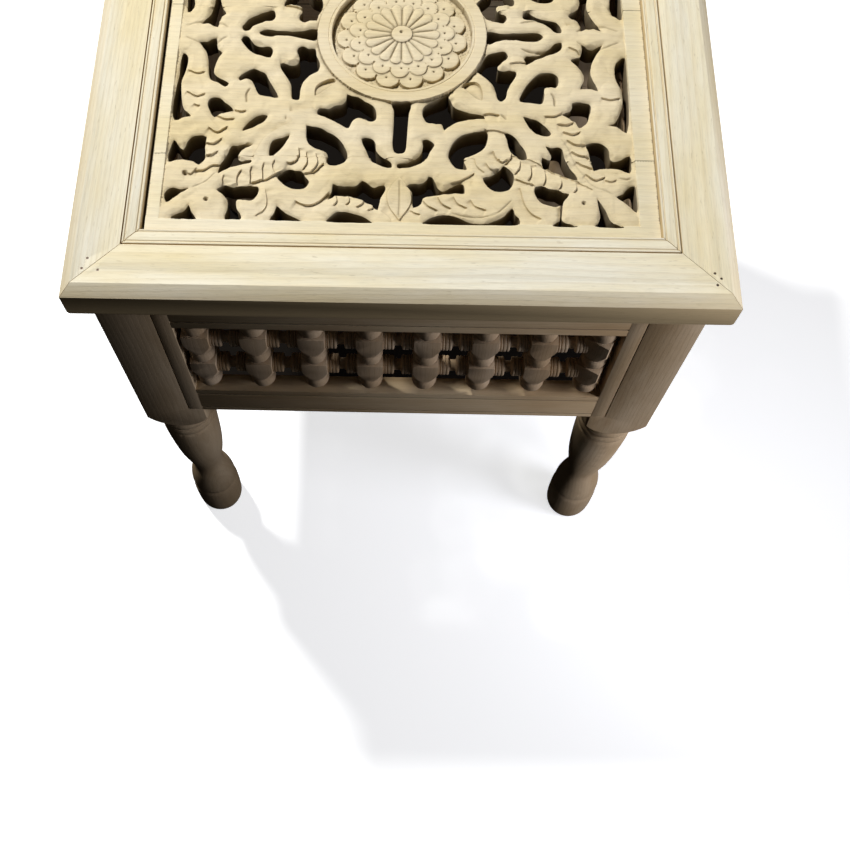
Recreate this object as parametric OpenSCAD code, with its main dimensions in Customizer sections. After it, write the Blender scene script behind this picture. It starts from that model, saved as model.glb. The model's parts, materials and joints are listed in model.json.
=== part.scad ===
// Square side table in unfinished wood, with a fret-carved top panel and turned lattice sides.
// Millimetres, +Z up. The origin is on the floor under the middle of the top. The front is -Y.

/* [Table] */
// Width and depth across the top frame
table_w = 460; // [440:5:490]
// Height from the floor to the top face
table_h = 510; // [490:5:550]

/* [Top frame] */
// Width of each mitred top board
board_w = 38.5; // [36:0.5:42]
// Thickness of the top boards
board_t = 38; // [34:0.5:42]
// Width of the bevel round the top edge
bevel_w = 8; // [5:0.5:11]
// Height of the bevel round the top edge
bevel_h = 7; // [4:0.5:9]
// How far the top boards stand out over the legs and rails
overhang = 12; // [8:0.5:16]

/* [Panel] */
// Width of the moulding that frames the carved panel
moulding_w = 12.2; // [10:0.2:16]
// Thickness of the carved panel
panel_t = 18; // [14:0.5:20]
// Depth of the panel's face below the top face
panel_drop = 4.8; // [2:0.2:6]
// Plain border round the carving
border_w = 12.5; // [9:0.5:16]
// Depth of the recessed ground round the rosette
ground_depth = 6; // [3:0.5:8]

/* [Legs] */
// Side of the square leg post
post_w = 52; // [50:1:56]

/* [Sides] */
// Thickness of the rails and stiles
rail_t = 15; // [14:0.5:18]
// Height of the upper rail
upper_rail_h = 33; // [28:1:40]
// Height of the lattice opening
opening_h = 109; // [107:1:118]
// Height of the lower rail
lower_rail_h = 40; // [32:1:46]
// Width of the stiles let into the legs
stile_w = 12; // [10:0.5:15]

/* [Lattice] */
// Square section of the spindle blocks
block_w = 20; // [18:0.5:20.5]

/* [Hidden] */

$fn = 48;
over = 1;

// Heights
rail_top_z = table_h - board_t;
opening_top_z = rail_top_z - upper_rail_h;
opening_foot_z = opening_top_z - opening_h;
side_foot_z = opening_foot_z - lower_rail_h;
panel_top_z = table_h - panel_drop;
panel_foot_z = panel_top_z - panel_t;

// Distances from the middle of the table, front view
top_half = table_w / 2;
frame_inner = top_half - board_w;
side_face = top_half - overhang;
leg_mid = side_face - post_w / 2;
opening_half = side_face - post_w;

// Fits and hairlines
mitre_gap = 0.2;
moulding_gap = 0.7;
moulding_shift = 0.5;
moulding_sink = 0.2;
panel_gap = 1;
panel_shift = 0.8;
stile_gap = 0.8;
pin_clearance = 0.15;
nail_clearance = 0.05;

// Panel
moulding_inner = top_half - board_w - moulding_w;
lip_w = 9.5;
panel_half = moulding_inner - panel_gap;
carve_half = panel_half - border_w + panel_gap;
drawn_half = 166.5;
pattern_scale = carve_half / drawn_half;
carving_shift = -2.4;
front_joint_at = 112.3;
back_joint_at = 25;
front_joint_y = -front_joint_at * pattern_scale;
back_joint_y = back_joint_at * pattern_scale;

// Rosette, drawn at the size of the default table
ring_inner_r = 52.5;
ring_sides = 96;
petal_count = 15;
outer_petal_at = 41;
outer_petal_r = 7.8;
outer_petal_top = 2.8;
outer_petal_turn = -80;
inner_petal_at = 32;
inner_petal_r = 7.6;
inner_petal_top = 1.8;
flute_count = 18;
flute_at = 23.5;
flute_r = 4.6;
flute_top = 0.8;
button_r = 8;
button_top = 0.2;
points_per_petal = 8;
points_per_flute = 6;

// Bead lines on the rails and the moulding
quirk_w = 1.4;
quirk_d = 1;
rail_quirk_w = 2;
rail_quirk_d = 1.4;
upper_quirk = 9;
lower_quirks = [8, 34.5];
edge_round_r = 12;

// Lattice
pin_r = 3.5;
pin_len = 8;
reel_pin_r = 3;
reel_pin_len = 8;
side_clear = 3;
spindle_count = 8;
spindle_axis = block_w / 2;
spindle_pitch = (2 * (opening_half - side_clear) - block_w) / (spindle_count - 1);
reel_len = spindle_pitch - block_w;
head_h = 16.3;
tail_h = 6.7;
row_pitch = (opening_h - head_h - tail_h) / 2;
row_mid = 14.5;
bead_h = 13;
block_h = row_pitch - bead_h;
bead_r = block_w / 2;
vee_r = 6.6;
neck_r = 4.6;

// Small parts
nail_r = 0.6;
nail_head_r = 0.9;
nail_head_h = 0.6;
nail_sink = 0.3;
nail_len = 55;
glue_block_w = 20;
glue_block_l = 40;
glue_block_at = 90;

// Middle points put between the given ones, so that a closed outline runs in curves.
function wrap(p, i) = p[(i + len(p)) % len(p)];
function smooth(p) = [for (i = [0 : len(p) - 1], half = [0, 1])
    half == 0 ? p[i] : (9 * (p[i] + wrap(p, i + 1)) - wrap(p, i - 1) - wrap(p, i + 2)) / 16];

// The same for a profile that is open at both ends.
function held(p, i) = p[min(max(i, 0), len(p) - 1)];
function run(p) = [for (i = [0 : 2 * len(p) - 2])
    i % 2 == 0 ? p[i / 2] : (9 * (held(p, (i - 1) / 2) + held(p, (i + 1) / 2))
        - held(p, (i - 3) / 2) - held(p, (i + 3) / 2)) / 16];

function flip_y(p) = [for (q = p) [q[0], -q[1]]];
function low_y(p) = min([for (q = p) q[1]]);
function high_y(p) = max([for (q = p) q[1]]);

// Pierced openings of the carving, about the middle of the ring.
// The two slots on the front and back arms and on the side arms.
arm_slot = [[-6.5, -63.5], [-5, -70], [-5, -86], [-5.5, -99], [-4, -106], [0, -107.5], [3.5, -105.5],
    [4.7, -98], [5.2, -86], [6.2, -72], [7.5, -63.2], [0, -63.2]];
right_slot = [[63.8, 5], [68, 5.4], [76, 3.4], [90, 4.2], [102, 4.4], [106, 0.5], [102, -3.6], [95, -4.4],
    [85, -3], [76, -3], [70, -4.4], [66.5, -6], [63.5, -5], [63.6, 0]];
left_slot = [[-64, 5.5], [-72, 4.4], [-82, 2.6], [-94, 2.8], [-102, 4], [-107.5, 2], [-105, -1.2],
    [-98, -2.4], [-86, -1.8], [-78, -2.6], [-71, -4.8], [-66, -6.2], [-64, -4], [-63.6, 0]];

// Right front quarter, from the arm outwards.
right_cuts = [
    [[16, -96], [20, -94.8], [24.6, -99.5], [21.5, -106], [17, -113.5], [10, -118], [4.5, -119.8],
        [-1, -119.6],
        [-1.6, -116.6], [5, -114.8], [11, -111.5], [15, -107], [16.4, -101]],
    [[19.5, -62.5], [28, -58.3], [33, -55.8], [36, -52.5], [35, -57], [37, -60.4], [38.5, -64.5], [46, -69],
        [55, -71.5], [60.5, -73.2], [60, -75.8], [50, -76.2], [42, -78.4], [36, -83], [31.8, -86.8],
        [30.6, -83.5],
        [29, -80.2], [23, -80.4], [18, -78.4], [15.8, -72], [16.6, -66.5]],
    [[61.5, -86.8], [63.3, -89.5], [62.4, -96], [60.8, -100.8], [57, -105], [51.5, -108], [46.5, -109.6],
        [46, -114], [47.8, -119.4], [45, -119.8], [40, -118.8], [36.6, -114.5], [34.6, -109], [36, -102],
        [39.2, -95.5], [44, -91], [50, -88.4], [56, -87.2]],
    [[75, -88.2], [79, -89], [83, -92.4], [86.5, -98], [89.5, -104], [90.4, -110.6], [87, -111],
        [83, -108.2],
        [79.2, -105], [77.6, -100], [76.6, -94]],
    [[89, -73.6], [93.5, -75], [99, -76.5], [103.5, -80.5], [108.6, -87], [106, -90], [100, -89.2],
        [96.5, -87.6],
        [92.8, -83], [90.4, -78]],
    [[104.3, -99.2], [108, -100.8], [112.5, -100.2], [115.8, -102], [117, -107], [119.5, -114], [123, -121],
        [125.8, -128], [118, -125.4], [111, -122], [106, -119.6], [101.8, -117.6], [100.8, -112.6],
        [101.6, -108.6], [104.5, -110], [107.4, -109.8], [107.8, -106.4], [105.6, -102.4]],
    [[87, -59.8], [88, -53.5], [92, -45.5], [97, -38.4], [102, -34.2], [107, -33.2], [112, -33.8],
        [115.6, -37.2],
        [115.8, -42], [113.6, -46], [108, -45.6], [105.4, -47.5], [105, -54], [103.6, -60.4], [100, -61.4],
        [94, -60.6]],
    [[63.4, -17.5], [67, -15.6], [72, -14.4], [76.5, -14], [79, -17.4], [78.4, -20.6], [74.4, -23.6],
        [71.6, -27],
        [72.4, -30.6], [78, -31.2], [84.4, -31.6], [84.8, -36], [80.6, -44], [78, -50], [76.8, -56.5],
        [73.4, -60], [70.4, -57.4], [69.4, -50], [67.6, -44.6], [63.2, -39.6], [56, -32], [59.6, -24.5]],
    [[114.6, -5.6], [119.6, -4.4], [119.4, -10], [115, -14.8], [107, -17.6], [101, -20.2], [96, -24.4],
        [92.8, -24.8], [91.2, -20.6], [93.4, -17], [100, -16.4], [106, -13.6], [111, -9.8]],
    [[134.4, -6.4], [138.4, -9.4], [143.4, -9.8], [149.6, -7], [145.6, -14.5], [141.6, -23], [140, -32],
        [141.8, -41], [144.6, -49], [139, -47], [131.4, -48], [134, -41.6], [135, -35], [133.4, -29.4],
        [129.6, -26], [125.8, -21.4], [128.4, -18.8], [132.6, -17.4], [134.4, -12]],
    [[125, -60.8], [130.5, -60], [137.6, -61.2], [138.4, -66], [136.8, -72], [135.2, -77.4], [132, -81],
        [128.8, -82.6], [126.4, -77.6], [122, -74], [117.4, -70.6], [122, -68], [124.6, -64.8]],
    [[166, -18.4], [162, -20.4], [158.6, -24.8], [157.6, -32], [158.4, -40], [161.2, -47], [162, -55],
        [161.2, -62.5], [159, -70], [155, -77.6], [150.8, -80.4], [157, -81], [163.4, -85.6], [165.6, -70],
        [166.2, -50], [166.3, -32]],
    [[133.2, -96.8], [140, -95.2], [145.4, -97], [149, -102], [150, -108.4], [153, -110.8], [159, -109],
        [164, -106.4], [164.6, -114], [163, -121.2], [156, -118.2], [149, -117.6], [142, -118.6],
        [137.6, -120], [136.4, -114], [134.6, -104]],
    [[165.6, -132], [166.2, -140], [166.4, -148], [165.4, -154.4], [161, -149], [157, -145.4],
        [152.2, -141.2],
        [157, -138.6], [160.6, -134]],
    [[73.8, -116], [77, -119.2], [80.6, -124.6], [80.4, -130.4], [77.6, -136], [72.8, -138.4],
        [66.8, -138.2],
        [62, -134.6], [58.8, -127.2], [63.6, -125.2], [67.8, -122], [71.6, -119.6]],
    [[96, -133.6], [101, -133.2], [105.4, -135.4], [111, -136], [115, -138.6], [119, -139.4], [118, -142.4],
        [115.2, -146], [114.2, -152], [113.6, -160], [117, -163.4], [123.6, -167.8], [115, -168.2],
        [106.4, -167.6],
        [109.6, -163], [112, -160.6], [112.6, -153], [112.8, -148.4], [107, -149.8], [100.6, -148.2],
        [96.6, -143.4], [94.8, -138]],
    [[20.2, -127.4], [23, -127.4], [25.2, -131.4], [28.4, -136.4], [31.6, -137.6], [36, -135.2],
        [41, -132.8],
        [45, -132.4], [45.8, -140.6], [39.6, -140.6], [32, -140.6], [27.4, -142], [20.6, -143], [16.8, -145],
        [15.2, -149.4], [10, -152.8], [9.3, -146.4], [8.8, -140], [5.4, -135.4], [7.4, -132.8], [13, -132.8],
        [18.8, -130]],
    [[16.4, -167.4], [18.6, -163.8], [23, -160.4], [29, -158.4], [35, -158.6], [42, -161], [50, -164.2],
        [58, -165.4], [66, -163], [73, -158.8], [79, -152.2], [81, -157.6], [83.8, -161], [82, -167.2],
        [66, -167.8], [48, -168], [30, -168]],
    [[138.8, -143.4], [141.4, -147.4], [144.4, -152.6], [146.8, -159], [150.4, -163.6], [155.6, -168],
        [145, -168.2], [135.4, -167.2], [138.6, -162.6], [140.2, -157], [139.4, -150]]];

// Left front quarter, from the arm outwards.
left_cuts = [
    [[-27.8, -95], [-20.4, -94.8], [-17.6, -99], [-17, -104.4], [-13, -109.8], [-6.4, -115.4], [-6, -119.6],
        [-12, -118.8], [-19.4, -114.6], [-24, -106]],
    [[-39.4, -55], [-35.6, -56.6], [-31.4, -57.4], [-26, -61.6], [-20, -66.4], [-17.6, -72.4], [-18.2, -78],
        [-22, -79.6], [-27, -77.2], [-31, -76.4], [-34.6, -79], [-37.4, -85.8], [-42, -83.8], [-49, -79.6],
        [-55, -76.2], [-60.6, -73.4], [-59.4, -68.6], [-53, -68.8], [-48.6, -66.2], [-43, -64],
        [-40, -60.4]],
    [[-68, -84], [-64, -85], [-58.4, -86], [-53, -88.8], [-47.4, -92.2], [-42.6, -97.4], [-39.2, -103.6],
        [-37.4, -109.6], [-39.6, -115.6], [-44.6, -118.2], [-50, -118.2], [-52.4, -114.6], [-51.6, -109],
        [-54, -106], [-60, -104.6], [-65.4, -100.6], [-67.6, -94.4], [-67.8, -88.6]],
    [[-79.8, -92.8], [-84.4, -95.2], [-90, -97], [-92.6, -100.6], [-93.6, -106], [-92.8, -112],
        [-88.4, -109],
        [-84, -103.4], [-81.4, -97.6]],
    [[-96.4, -76], [-98.8, -81.4], [-103.4, -84.4], [-108.4, -87.4], [-113.8, -90.2], [-111.6, -84],
        [-107.2, -79.2], [-102, -75.6]],
    [[-120.4, -102.6], [-116.6, -102.6], [-113.4, -101.6], [-109, -101.4], [-106, -101.4], [-110, -103.6],
        [-113.6, -106], [-115.8, -112], [-112.6, -115.6], [-106, -114.8], [-106.4, -117.8], [-113, -119.2],
        [-121, -121.4], [-128.2, -126.8], [-128.2, -121], [-125, -113.6], [-122.2, -107]],
    [[-108.4, -33.2], [-104.6, -35.4], [-100.2, -38.2], [-97.6, -43], [-94, -49.6], [-89.8, -58.8],
        [-96, -58.4], [-103.6, -57.2], [-107, -51.4], [-109.8, -44.4], [-114, -42.2], [-118.4, -44.6],
        [-120, -41.6], [-117, -37.6], [-112.8, -34.6]],
    [[-64.6, -13.4], [-69.6, -13.4], [-73.6, -11.6], [-77.4, -13.6], [-77.8, -17.6], [-76.2, -22],
        [-77.6, -28],
        [-84, -29], [-90, -27.8], [-88.6, -33.8], [-84.4, -40.8], [-81, -48], [-80.4, -56], [-79, -61.4],
        [-74.4, -61.2], [-74, -52], [-72.4, -44], [-68.4, -38.4], [-62, -34.6], [-60.6, -27.4],
        [-63.4, -20]],
    [[-118.6, -2.6], [-115, -3.4], [-112.6, -7.4], [-108.6, -10.8], [-103.6, -12.4], [-98.8, -12.4],
        [-96.2, -16], [-97.6, -22.6], [-103.6, -21.6], [-109.6, -18.8], [-115.4, -14.4], [-120.6, -6.4]],
    [[-139, -5.8], [-138.4, -11.4], [-136.6, -16], [-133.8, -18.8], [-136.2, -23.4], [-138.4, -30],
        [-138.8, -36.4], [-134.4, -41.8], [-127, -47], [-129.6, -50.6], [-135, -46.6], [-141, -43.4],
        [-143, -34], [-144, -25], [-146.4, -17], [-151.6, -8.8], [-146, -8.4], [-143, -6.6]],
    [[-139, -61.2], [-132.4, -60.8], [-128.4, -64.6], [-124.4, -67.8], [-121.8, -72.2], [-130, -74],
        [-135.4, -77.2], [-138.8, -72.4], [-140.8, -66.8]],
    [[-163.2, -19.8], [-159.8, -21.8], [-158.6, -28], [-159.8, -37], [-161.8, -46], [-161, -57],
        [-159, -68], [-155.4, -73.6], [-152.2, -77.6], [-158, -78.8], [-163.8, -81.2], [-166, -72],
        [-165.6, -58], [-164.2, -42], [-164.2, -30]],
    [[-162.6, -98.8], [-159.4, -102.2], [-155.6, -105.8], [-153.2, -101], [-150.4, -96.4], [-145.4, -94.4],
        [-139.4, -95.2], [-139.8, -104], [-139.2, -112], [-142.8, -119.6], [-147.4, -116.8], [-155, -115.4],
        [-160.4, -116.8], [-164.6, -117.6], [-165.4, -109]],
    [[-161.8, -140.2], [-158.6, -139.2], [-154, -140.6], [-148.2, -140], [-154, -144], [-159, -148.6],
        [-163.2, -151.6], [-165, -145]],
    [[-78, -121.4], [-74.4, -123.2], [-69.6, -124.2], [-66.6, -128], [-63.8, -133], [-66.4, -138.4],
        [-72.6, -139.6], [-78.6, -137.4], [-83, -133.8], [-86.8, -128], [-82.8, -124]],
    [[-123.4, -136.4], [-117.6, -138], [-112, -137], [-106, -137.2], [-100.4, -136.8], [-98.8, -141],
        [-101.8, -147.6], [-106, -149], [-111, -147.6], [-114.2, -148.6], [-113.2, -156], [-110, -161.6],
        [-110.8, -165.4], [-121, -165], [-120.2, -158], [-120.4, -149.4], [-124, -144.6], [-128.6, -141],
        [-126.2, -138.6]],
    [[-47, -134.4], [-43.4, -135.6], [-36, -135.2], [-30, -134.4], [-26.2, -130.6], [-22, -133.6],
        [-17.6, -136], [-10.6, -134.8], [-10, -139], [-13, -145.6], [-14.8, -154.8], [-19, -151.6],
        [-24.6, -148], [-31, -144.6], [-38, -144], [-44, -144], [-50, -146.2], [-47.8, -141]],
    [[-49.8, -167], [-47.6, -162], [-43, -157.6], [-37, -157.4], [-31, -159], [-24.4, -161.2], [-19, -165.2],
        [-18.8, -167.4], [-34, -167.6]],
    [[-85.4, -153], [-82.4, -156], [-77.4, -159.8], [-71, -163.2], [-66.6, -166.8], [-78, -166.8],
        [-89.8, -166.2], [-87.4, -159.6]],
    [[-147, -153.6], [-145, -158.6], [-142.6, -162], [-141.2, -166.8], [-150, -166.6], [-158, -166],
        [-157.6, -163], [-152.6, -160], [-149, -157.4]]];

quarter_cuts = concat(right_cuts, left_cuts);
all_cuts = concat([arm_slot, flip_y(arm_slot), right_slot, left_slot], quarter_cuts,
    [for (c = quarter_cuts) flip_y(c)]);

// Turned foot of the leg, as radius and height above the floor.
leg_profile = run([[40, 290], [38.6, 277], [36, 268.5], [32.6, 261.5], [28.8, 256], [25.6, 252],
    [23.6, 248.6], [24.8, 245.4], [25.2, 241.8], [24.4, 238.6], [22.8, 236.6], [24.6, 234.2], [25.1, 230.4],
    [24.4, 227], [22.9, 225], [24.3, 222.6], [24.8, 216], [24.6, 205], [23.9, 188], [22.8, 168], [20.9, 147],
    [18.2, 129], [15.8, 115], [15, 106], [15.9, 98.6], [18.4, 90], [20.6, 80], [22.2, 68], [22.4, 59],
    [21.6, 55.4], [22.9, 51.4], [23.5, 40], [23.5, 22], [23, 9], [21.8, 2.4], [20, 0]]);
leg_stretch = side_foot_z / leg_profile[0][1];

// Nail heads in the top frame, by their distances from the side edge and from the front or back edge.
left_nails = [[15, 19], [26, 18], [18, 27]];
right_nails = [[18.5, 23.5], [14.5, 19.5], [17.5, 14.5]];
nails = concat([for (q = left_nails, end = [-1, 1]) [q[0] - top_half, end * (top_half - q[1])]],
    [for (q = right_nails, end = [-1, 1]) [top_half - q[0], end * (top_half - q[1])]]);

// A V-shaped bead line cut into an edge at a given height.
function quirk(at, face) = [[face, at - rail_quirk_w / 2], [face + rail_quirk_d, at],
    [face, at + rail_quirk_w / 2]];

module turned(profile) {
    rotate_extrude($fn = 48)
        polygon(concat([[0, profile[0][1]]], profile, [[0, profile[len(profile) - 1][1]]]));
}

module nail_bores() {
    for (n = nails) {
        translate([n[0], n[1], table_h - nail_sink - nail_len - 1])
            cylinder(r = nail_r + nail_clearance, h = nail_len + 1);
        translate([n[0], n[1], table_h - nail_sink - nail_head_h])
            cylinder(r = nail_head_r + nail_clearance, h = nail_head_h + nail_sink + over);
    }
}

// Legs. The back right leg is shaped in place, and the others are turned copies of it.
module leg_shape() {
    difference() {
        union() {
            translate([leg_mid - post_w / 2, leg_mid - post_w / 2, side_foot_z])
                cube([post_w, post_w, rail_top_z - side_foot_z]);
            intersection() {
                translate([leg_mid, leg_mid, 0])
                    turned(concat([[leg_profile[0][0], side_foot_z + over]],
                        [for (q = leg_profile) [q[0], q[1] * leg_stretch]]));
                translate([leg_mid - post_w / 2, leg_mid - post_w / 2, -over])
                    cube([post_w, post_w, table_h]);
            }
        }
        translate([opening_half - over, side_face - rail_t, side_foot_z])
            cube([stile_w + stile_gap + over, rail_t + over, table_h]);
        translate([side_face - rail_t, opening_half - over, side_foot_z])
            cube([rail_t + over, stile_w + stile_gap + over, table_h]);
    }
}

module leg(turn) {
    color("BurlyWood")
        difference() {
            rotate([0, 0, turn])
                leg_shape();
            nail_bores();
        }
}

// Top frame boards with mitred ends. The section is drawn from the outer edge inwards.
module board_section() {
    difference() {
        polygon([[0, -board_t], [0, -bevel_h], [bevel_w, 0], [board_w, 0], [board_w, -board_t]]);
        difference() {
            translate([-over, -board_t - over])
                square(edge_round_r + over);
            translate([edge_round_r, edge_round_r - board_t])
                circle(edge_round_r);
        }
    }
}

module mitre_wedge(half) {
    translate([0, 0, -table_h])
        linear_extrude(3 * table_h)
            polygon([[-half + mitre_gap, -half], [half - mitre_gap, -half], [0, -mitre_gap]]);
}

module front_bar(length) {
    rotate([90, 0, 90])
        linear_extrude(length, center = true)
            children();
}

module top_board(turn) {
    color("Wheat")
        difference() {
            rotate([0, 0, turn])
                intersection() {
                    translate([0, -top_half, table_h])
                        front_bar(table_w)
                            board_section();
                    mitre_wedge(top_half);
                }
            nail_bores();
        }
}

// Inner moulding with a lip that carries the panel.
module moulding_section() {
    face_w = moulding_w - moulding_gap;
    lip_top = -panel_drop - panel_t;
    near = 2;
    crown = 0.4;
    crown_w = 0.8;
    polygon([[0, -board_t], [0, -moulding_sink - crown], [crown_w, -moulding_sink],
        [near - quirk_w / 2, -moulding_sink], [near, -moulding_sink - quirk_d],
        [near + quirk_w / 2, -moulding_sink],
        [face_w - near - quirk_w / 2, -moulding_sink], [face_w - near, -moulding_sink - quirk_d],
        [face_w - near + quirk_w / 2, -moulding_sink], [face_w - crown_w, -moulding_sink],
        [face_w, -moulding_sink - crown], [face_w, lip_top], [face_w + lip_w, lip_top],
        [face_w + lip_w, -board_t]]);
}

module panel_moulding(turn) {
    outer = frame_inner - moulding_gap;
    color("Wheat")
        translate([0, moulding_shift, 0])
            rotate([0, 0, turn])
                intersection() {
                    translate([0, -outer, table_h])
                        front_bar(2 * outer)
                            moulding_section();
                    mitre_wedge(outer);
                }
}

// Round petals set on a circle, as one closed outline.
function petals(at, r, count, turn, steps) = [for (i = [0 : count * steps - 1])
    let (a = 360 * (i + 0.5) / (count * steps), reach = at + r * sqrt(abs(cos(count * a / 2))))
    reach * [cos(a + turn), sin(a + turn)]];

// A row of petals that stands from under the ground to a depth below the panel's face.
module petal_row(top, outline) {
    translate([0, 0, panel_top_z - ground_depth - over])
        linear_extrude(ground_depth + over - top)
            polygon(outline);
}

// Sunk ground with two rows of petals, a fluted flower and a button left standing in it.
module rosette_recess() {
    half_step = 180 / petal_count;
    difference() {
        translate([0, 0, panel_top_z - ground_depth])
            cylinder(r = ring_inner_r, h = ground_depth + over, $fn = ring_sides);
        petal_row(outer_petal_top, petals(outer_petal_at, outer_petal_r, petal_count, outer_petal_turn,
            points_per_petal));
        petal_row(inner_petal_top, petals(inner_petal_at, inner_petal_r, petal_count,
            outer_petal_turn + half_step, points_per_petal));
        petal_row(flute_top, petals(flute_at, flute_r, flute_count, 0, points_per_flute));
        translate([0, 0, panel_top_z - ground_depth - over])
            cylinder(r = button_r, h = ground_depth + over - button_top);
    }
}

// One glued board of the carved panel, between two joint lines.
module panel_board(y0, y1) {
    color("Moccasin")
        translate([panel_shift, 0, 0])
            difference() {
                translate([-panel_half, y0, panel_foot_z])
                    cube([2 * panel_half, y1 - y0, panel_t]);
                for (c = all_cuts)
                    if (low_y(c) * pattern_scale < y1 && high_y(c) * pattern_scale > y0)
                        translate([carving_shift, 0, panel_foot_z - over])
                            linear_extrude(panel_t + 2 * over)
                                polygon(smooth(c) * pattern_scale);
                if (y1 > -ring_inner_r)
                    translate([carving_shift, 0, 0])
                        rosette_recess();
            }
}

// Side frames. Each is shaped at the front and turned to its side.
module upper_rail(turn) {
    color("BurlyWood")
        rotate([0, 0, turn])
            difference() {
                translate([0, -side_face, opening_top_z])
                    front_bar(2 * opening_half)
                        polygon(concat([[0, 0]], quirk(upper_quirk, 0),
                            [[0, upper_rail_h], [rail_t, upper_rail_h], [rail_t, 0]]));
                spindle_sockets(opening_top_z - over);
            }
}

module lower_rail(turn) {
    color("BurlyWood")
        rotate([0, 0, turn])
            difference() {
                translate([0, -side_face, side_foot_z])
                    front_bar(2 * opening_half)
                        polygon(concat([[0, 0]], quirk(lower_rail_h - lower_quirks[1], 0),
                            quirk(lower_rail_h - lower_quirks[0], 0),
                            [[0, lower_rail_h], [rail_t, lower_rail_h], [rail_t, 0]]));
                spindle_sockets(opening_foot_z - pin_len - pin_clearance);
            }
}

module stile(turn, side) {
    color("BurlyWood")
        rotate([0, 0, turn])
            translate([side > 0 ? opening_half : -opening_half - stile_w, -side_face, side_foot_z])
                cube([stile_w, rail_t, rail_top_z - side_foot_z]);
}

// Lattice spindles: a square stick turned between its blocks.
function spindle_x(i) = (i - (spindle_count - 1) / 2) * spindle_pitch;
function bead(d) = [[vee_r, -d], [bead_r - 1.4, -d - 0.8], [bead_r - 0.3, -d - 2.6],
    [bead_r - 0.05, -d - 5.4], [bead_r - 0.05, -d - bead_h + 4.2], [bead_r - 0.4, -d - bead_h + 2.2],
    [bead_r - 1.6, -d - bead_h + 0.8], [vee_r, -d - bead_h]];
function block(d) = [[block_w * 0.75, -d], [block_w * 0.75, -d - 9], [14.4, -d - 12], [13.4, -d - 16],
    [12.2, -d - 20], [11, -d - block_h + 6], [bead_r + 0.2, -d - block_h + 3], [8.8, -d - block_h + 1]];
row_d = [head_h, head_h + row_pitch];
spindle_profile = concat([[pin_r, pin_len], [pin_r, 0], [vee_r, 0]], bead(head_h - bead_h),
    block(row_d[0]), bead(row_d[0] + block_h), block(row_d[1]), bead(row_d[1] + block_h),
    [[neck_r, -opening_h + tail_h - 0.6], [neck_r, -opening_h], [pin_r, -opening_h],
        [pin_r, -opening_h - pin_len]]);

module spindle_sockets(z) {
    for (i = [0 : spindle_count - 1])
        translate([spindle_x(i), -side_face + spindle_axis, z])
            cylinder(r = pin_r + pin_clearance, h = pin_len + pin_clearance + over);
}

module spindle(i) {
    translate([spindle_x(i), -side_face + spindle_axis, 0])
        difference() {
            intersection() {
                translate([0, 0, opening_top_z])
                    turned(spindle_profile);
                translate([-block_w / 2, -block_w / 2, 0])
                    cube([block_w, block_w, table_h]);
            }
            for (d = row_d)
                translate([i == 0 ? 0 : -block_w, 0, opening_top_z - d - row_mid])
                    rotate([0, 90, 0])
                        cylinder(r = reel_pin_r + pin_clearance,
                            h = i == 0 || i == spindle_count - 1 ? block_w : 2 * block_w);
        }
}

module one_spindle(i) {
    color("Tan")
        spindle(i);
}

module side_spindles(turn) {
    color("Tan")
        rotate([0, 0, turn])
            for (i = [0 : spindle_count - 1])
                spindle(i);
}

// Turned reels that join the spindle blocks in one row.
half_reel = [[4.6, 0], [4.6, 2.1], [5.2, 2.7], [7.3, 3.1], [7.9, 3.8], [7.9, 5.1], [6.9, 5.5], [7.9, 5.9],
    [7.9, 7.9], [6.9, 8.3], [7.9, 8.7], [7.9, 9.9], [7, 10.3], [7.9, 10.7]];
reel_side = concat(half_reel, [[7.9, reel_len / 2], [reel_pin_r, reel_len / 2],
    [reel_pin_r, reel_len / 2 + reel_pin_len]]);
reel_profile = concat([for (i = [len(reel_side) - 1 : -1 : 1]) [reel_side[i][0], -reel_side[i][1]]],
    [for (i = [1 : len(reel_side) - 1]) reel_side[i]]);

module side_reels(turn, row) {
    color("Tan")
        rotate([0, 0, turn])
            for (i = [0 : spindle_count - 2])
                translate([spindle_x(i) + spindle_pitch / 2, -side_face + spindle_axis,
                    opening_top_z - row_d[row] - row_mid])
                    rotate([0, 90, 0])
                        turned(reel_profile);
}

// Hidden glue blocks between the upper rails and the underside of the top.
module glue_blocks() {
    color("Peru")
        for (turn = [0 : 90 : 270], side = [-1, 1])
            rotate([0, 0, turn])
                translate([side * glue_block_at - glue_block_l / 2, -side_face + rail_t,
                    rail_top_z - glue_block_w])
                    cube([glue_block_l, glue_block_w, glue_block_w]);
}

// Nails through the top frame into the legs.
module top_nails() {
    color("DimGray")
        for (n = nails)
            translate([n[0], n[1], table_h - nail_sink - nail_len]) {
                cylinder(r = nail_r, h = nail_len);
                translate([0, 0, nail_len - nail_head_h])
                    cylinder(r = nail_head_r, h = nail_head_h);
            }
}

leg(180);  // front_left_leg
leg(270);  // front_right_leg
leg(0);  // back_right_leg
leg(90);  // back_left_leg
top_board(0);  // top_board_front
top_board(90);  // top_board_right
top_board(180);  // top_board_back
top_board(270);  // top_board_left
panel_moulding(0);  // panel_moulding_front
panel_moulding(90);  // panel_moulding_right
panel_moulding(180);  // panel_moulding_back
panel_moulding(270);  // panel_moulding_left
panel_board(-panel_half, front_joint_y);  // panel_board_front
panel_board(front_joint_y, back_joint_y);  // panel_board_middle
panel_board(back_joint_y, panel_half);  // panel_board_back
upper_rail(0);  // front_upper_rail
upper_rail(90);  // right_upper_rail
upper_rail(180);  // back_upper_rail
upper_rail(270);  // left_upper_rail
lower_rail(0);  // front_lower_rail
lower_rail(90);  // right_lower_rail
lower_rail(180);  // back_lower_rail
lower_rail(270);  // left_lower_rail
stile(0, -1);  // front_left_stile
stile(0, 1);  // front_right_stile
stile(90, -1);  // right_front_stile
stile(90, 1);  // right_back_stile
stile(180, -1);  // back_right_stile
stile(180, 1);  // back_left_stile
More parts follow.
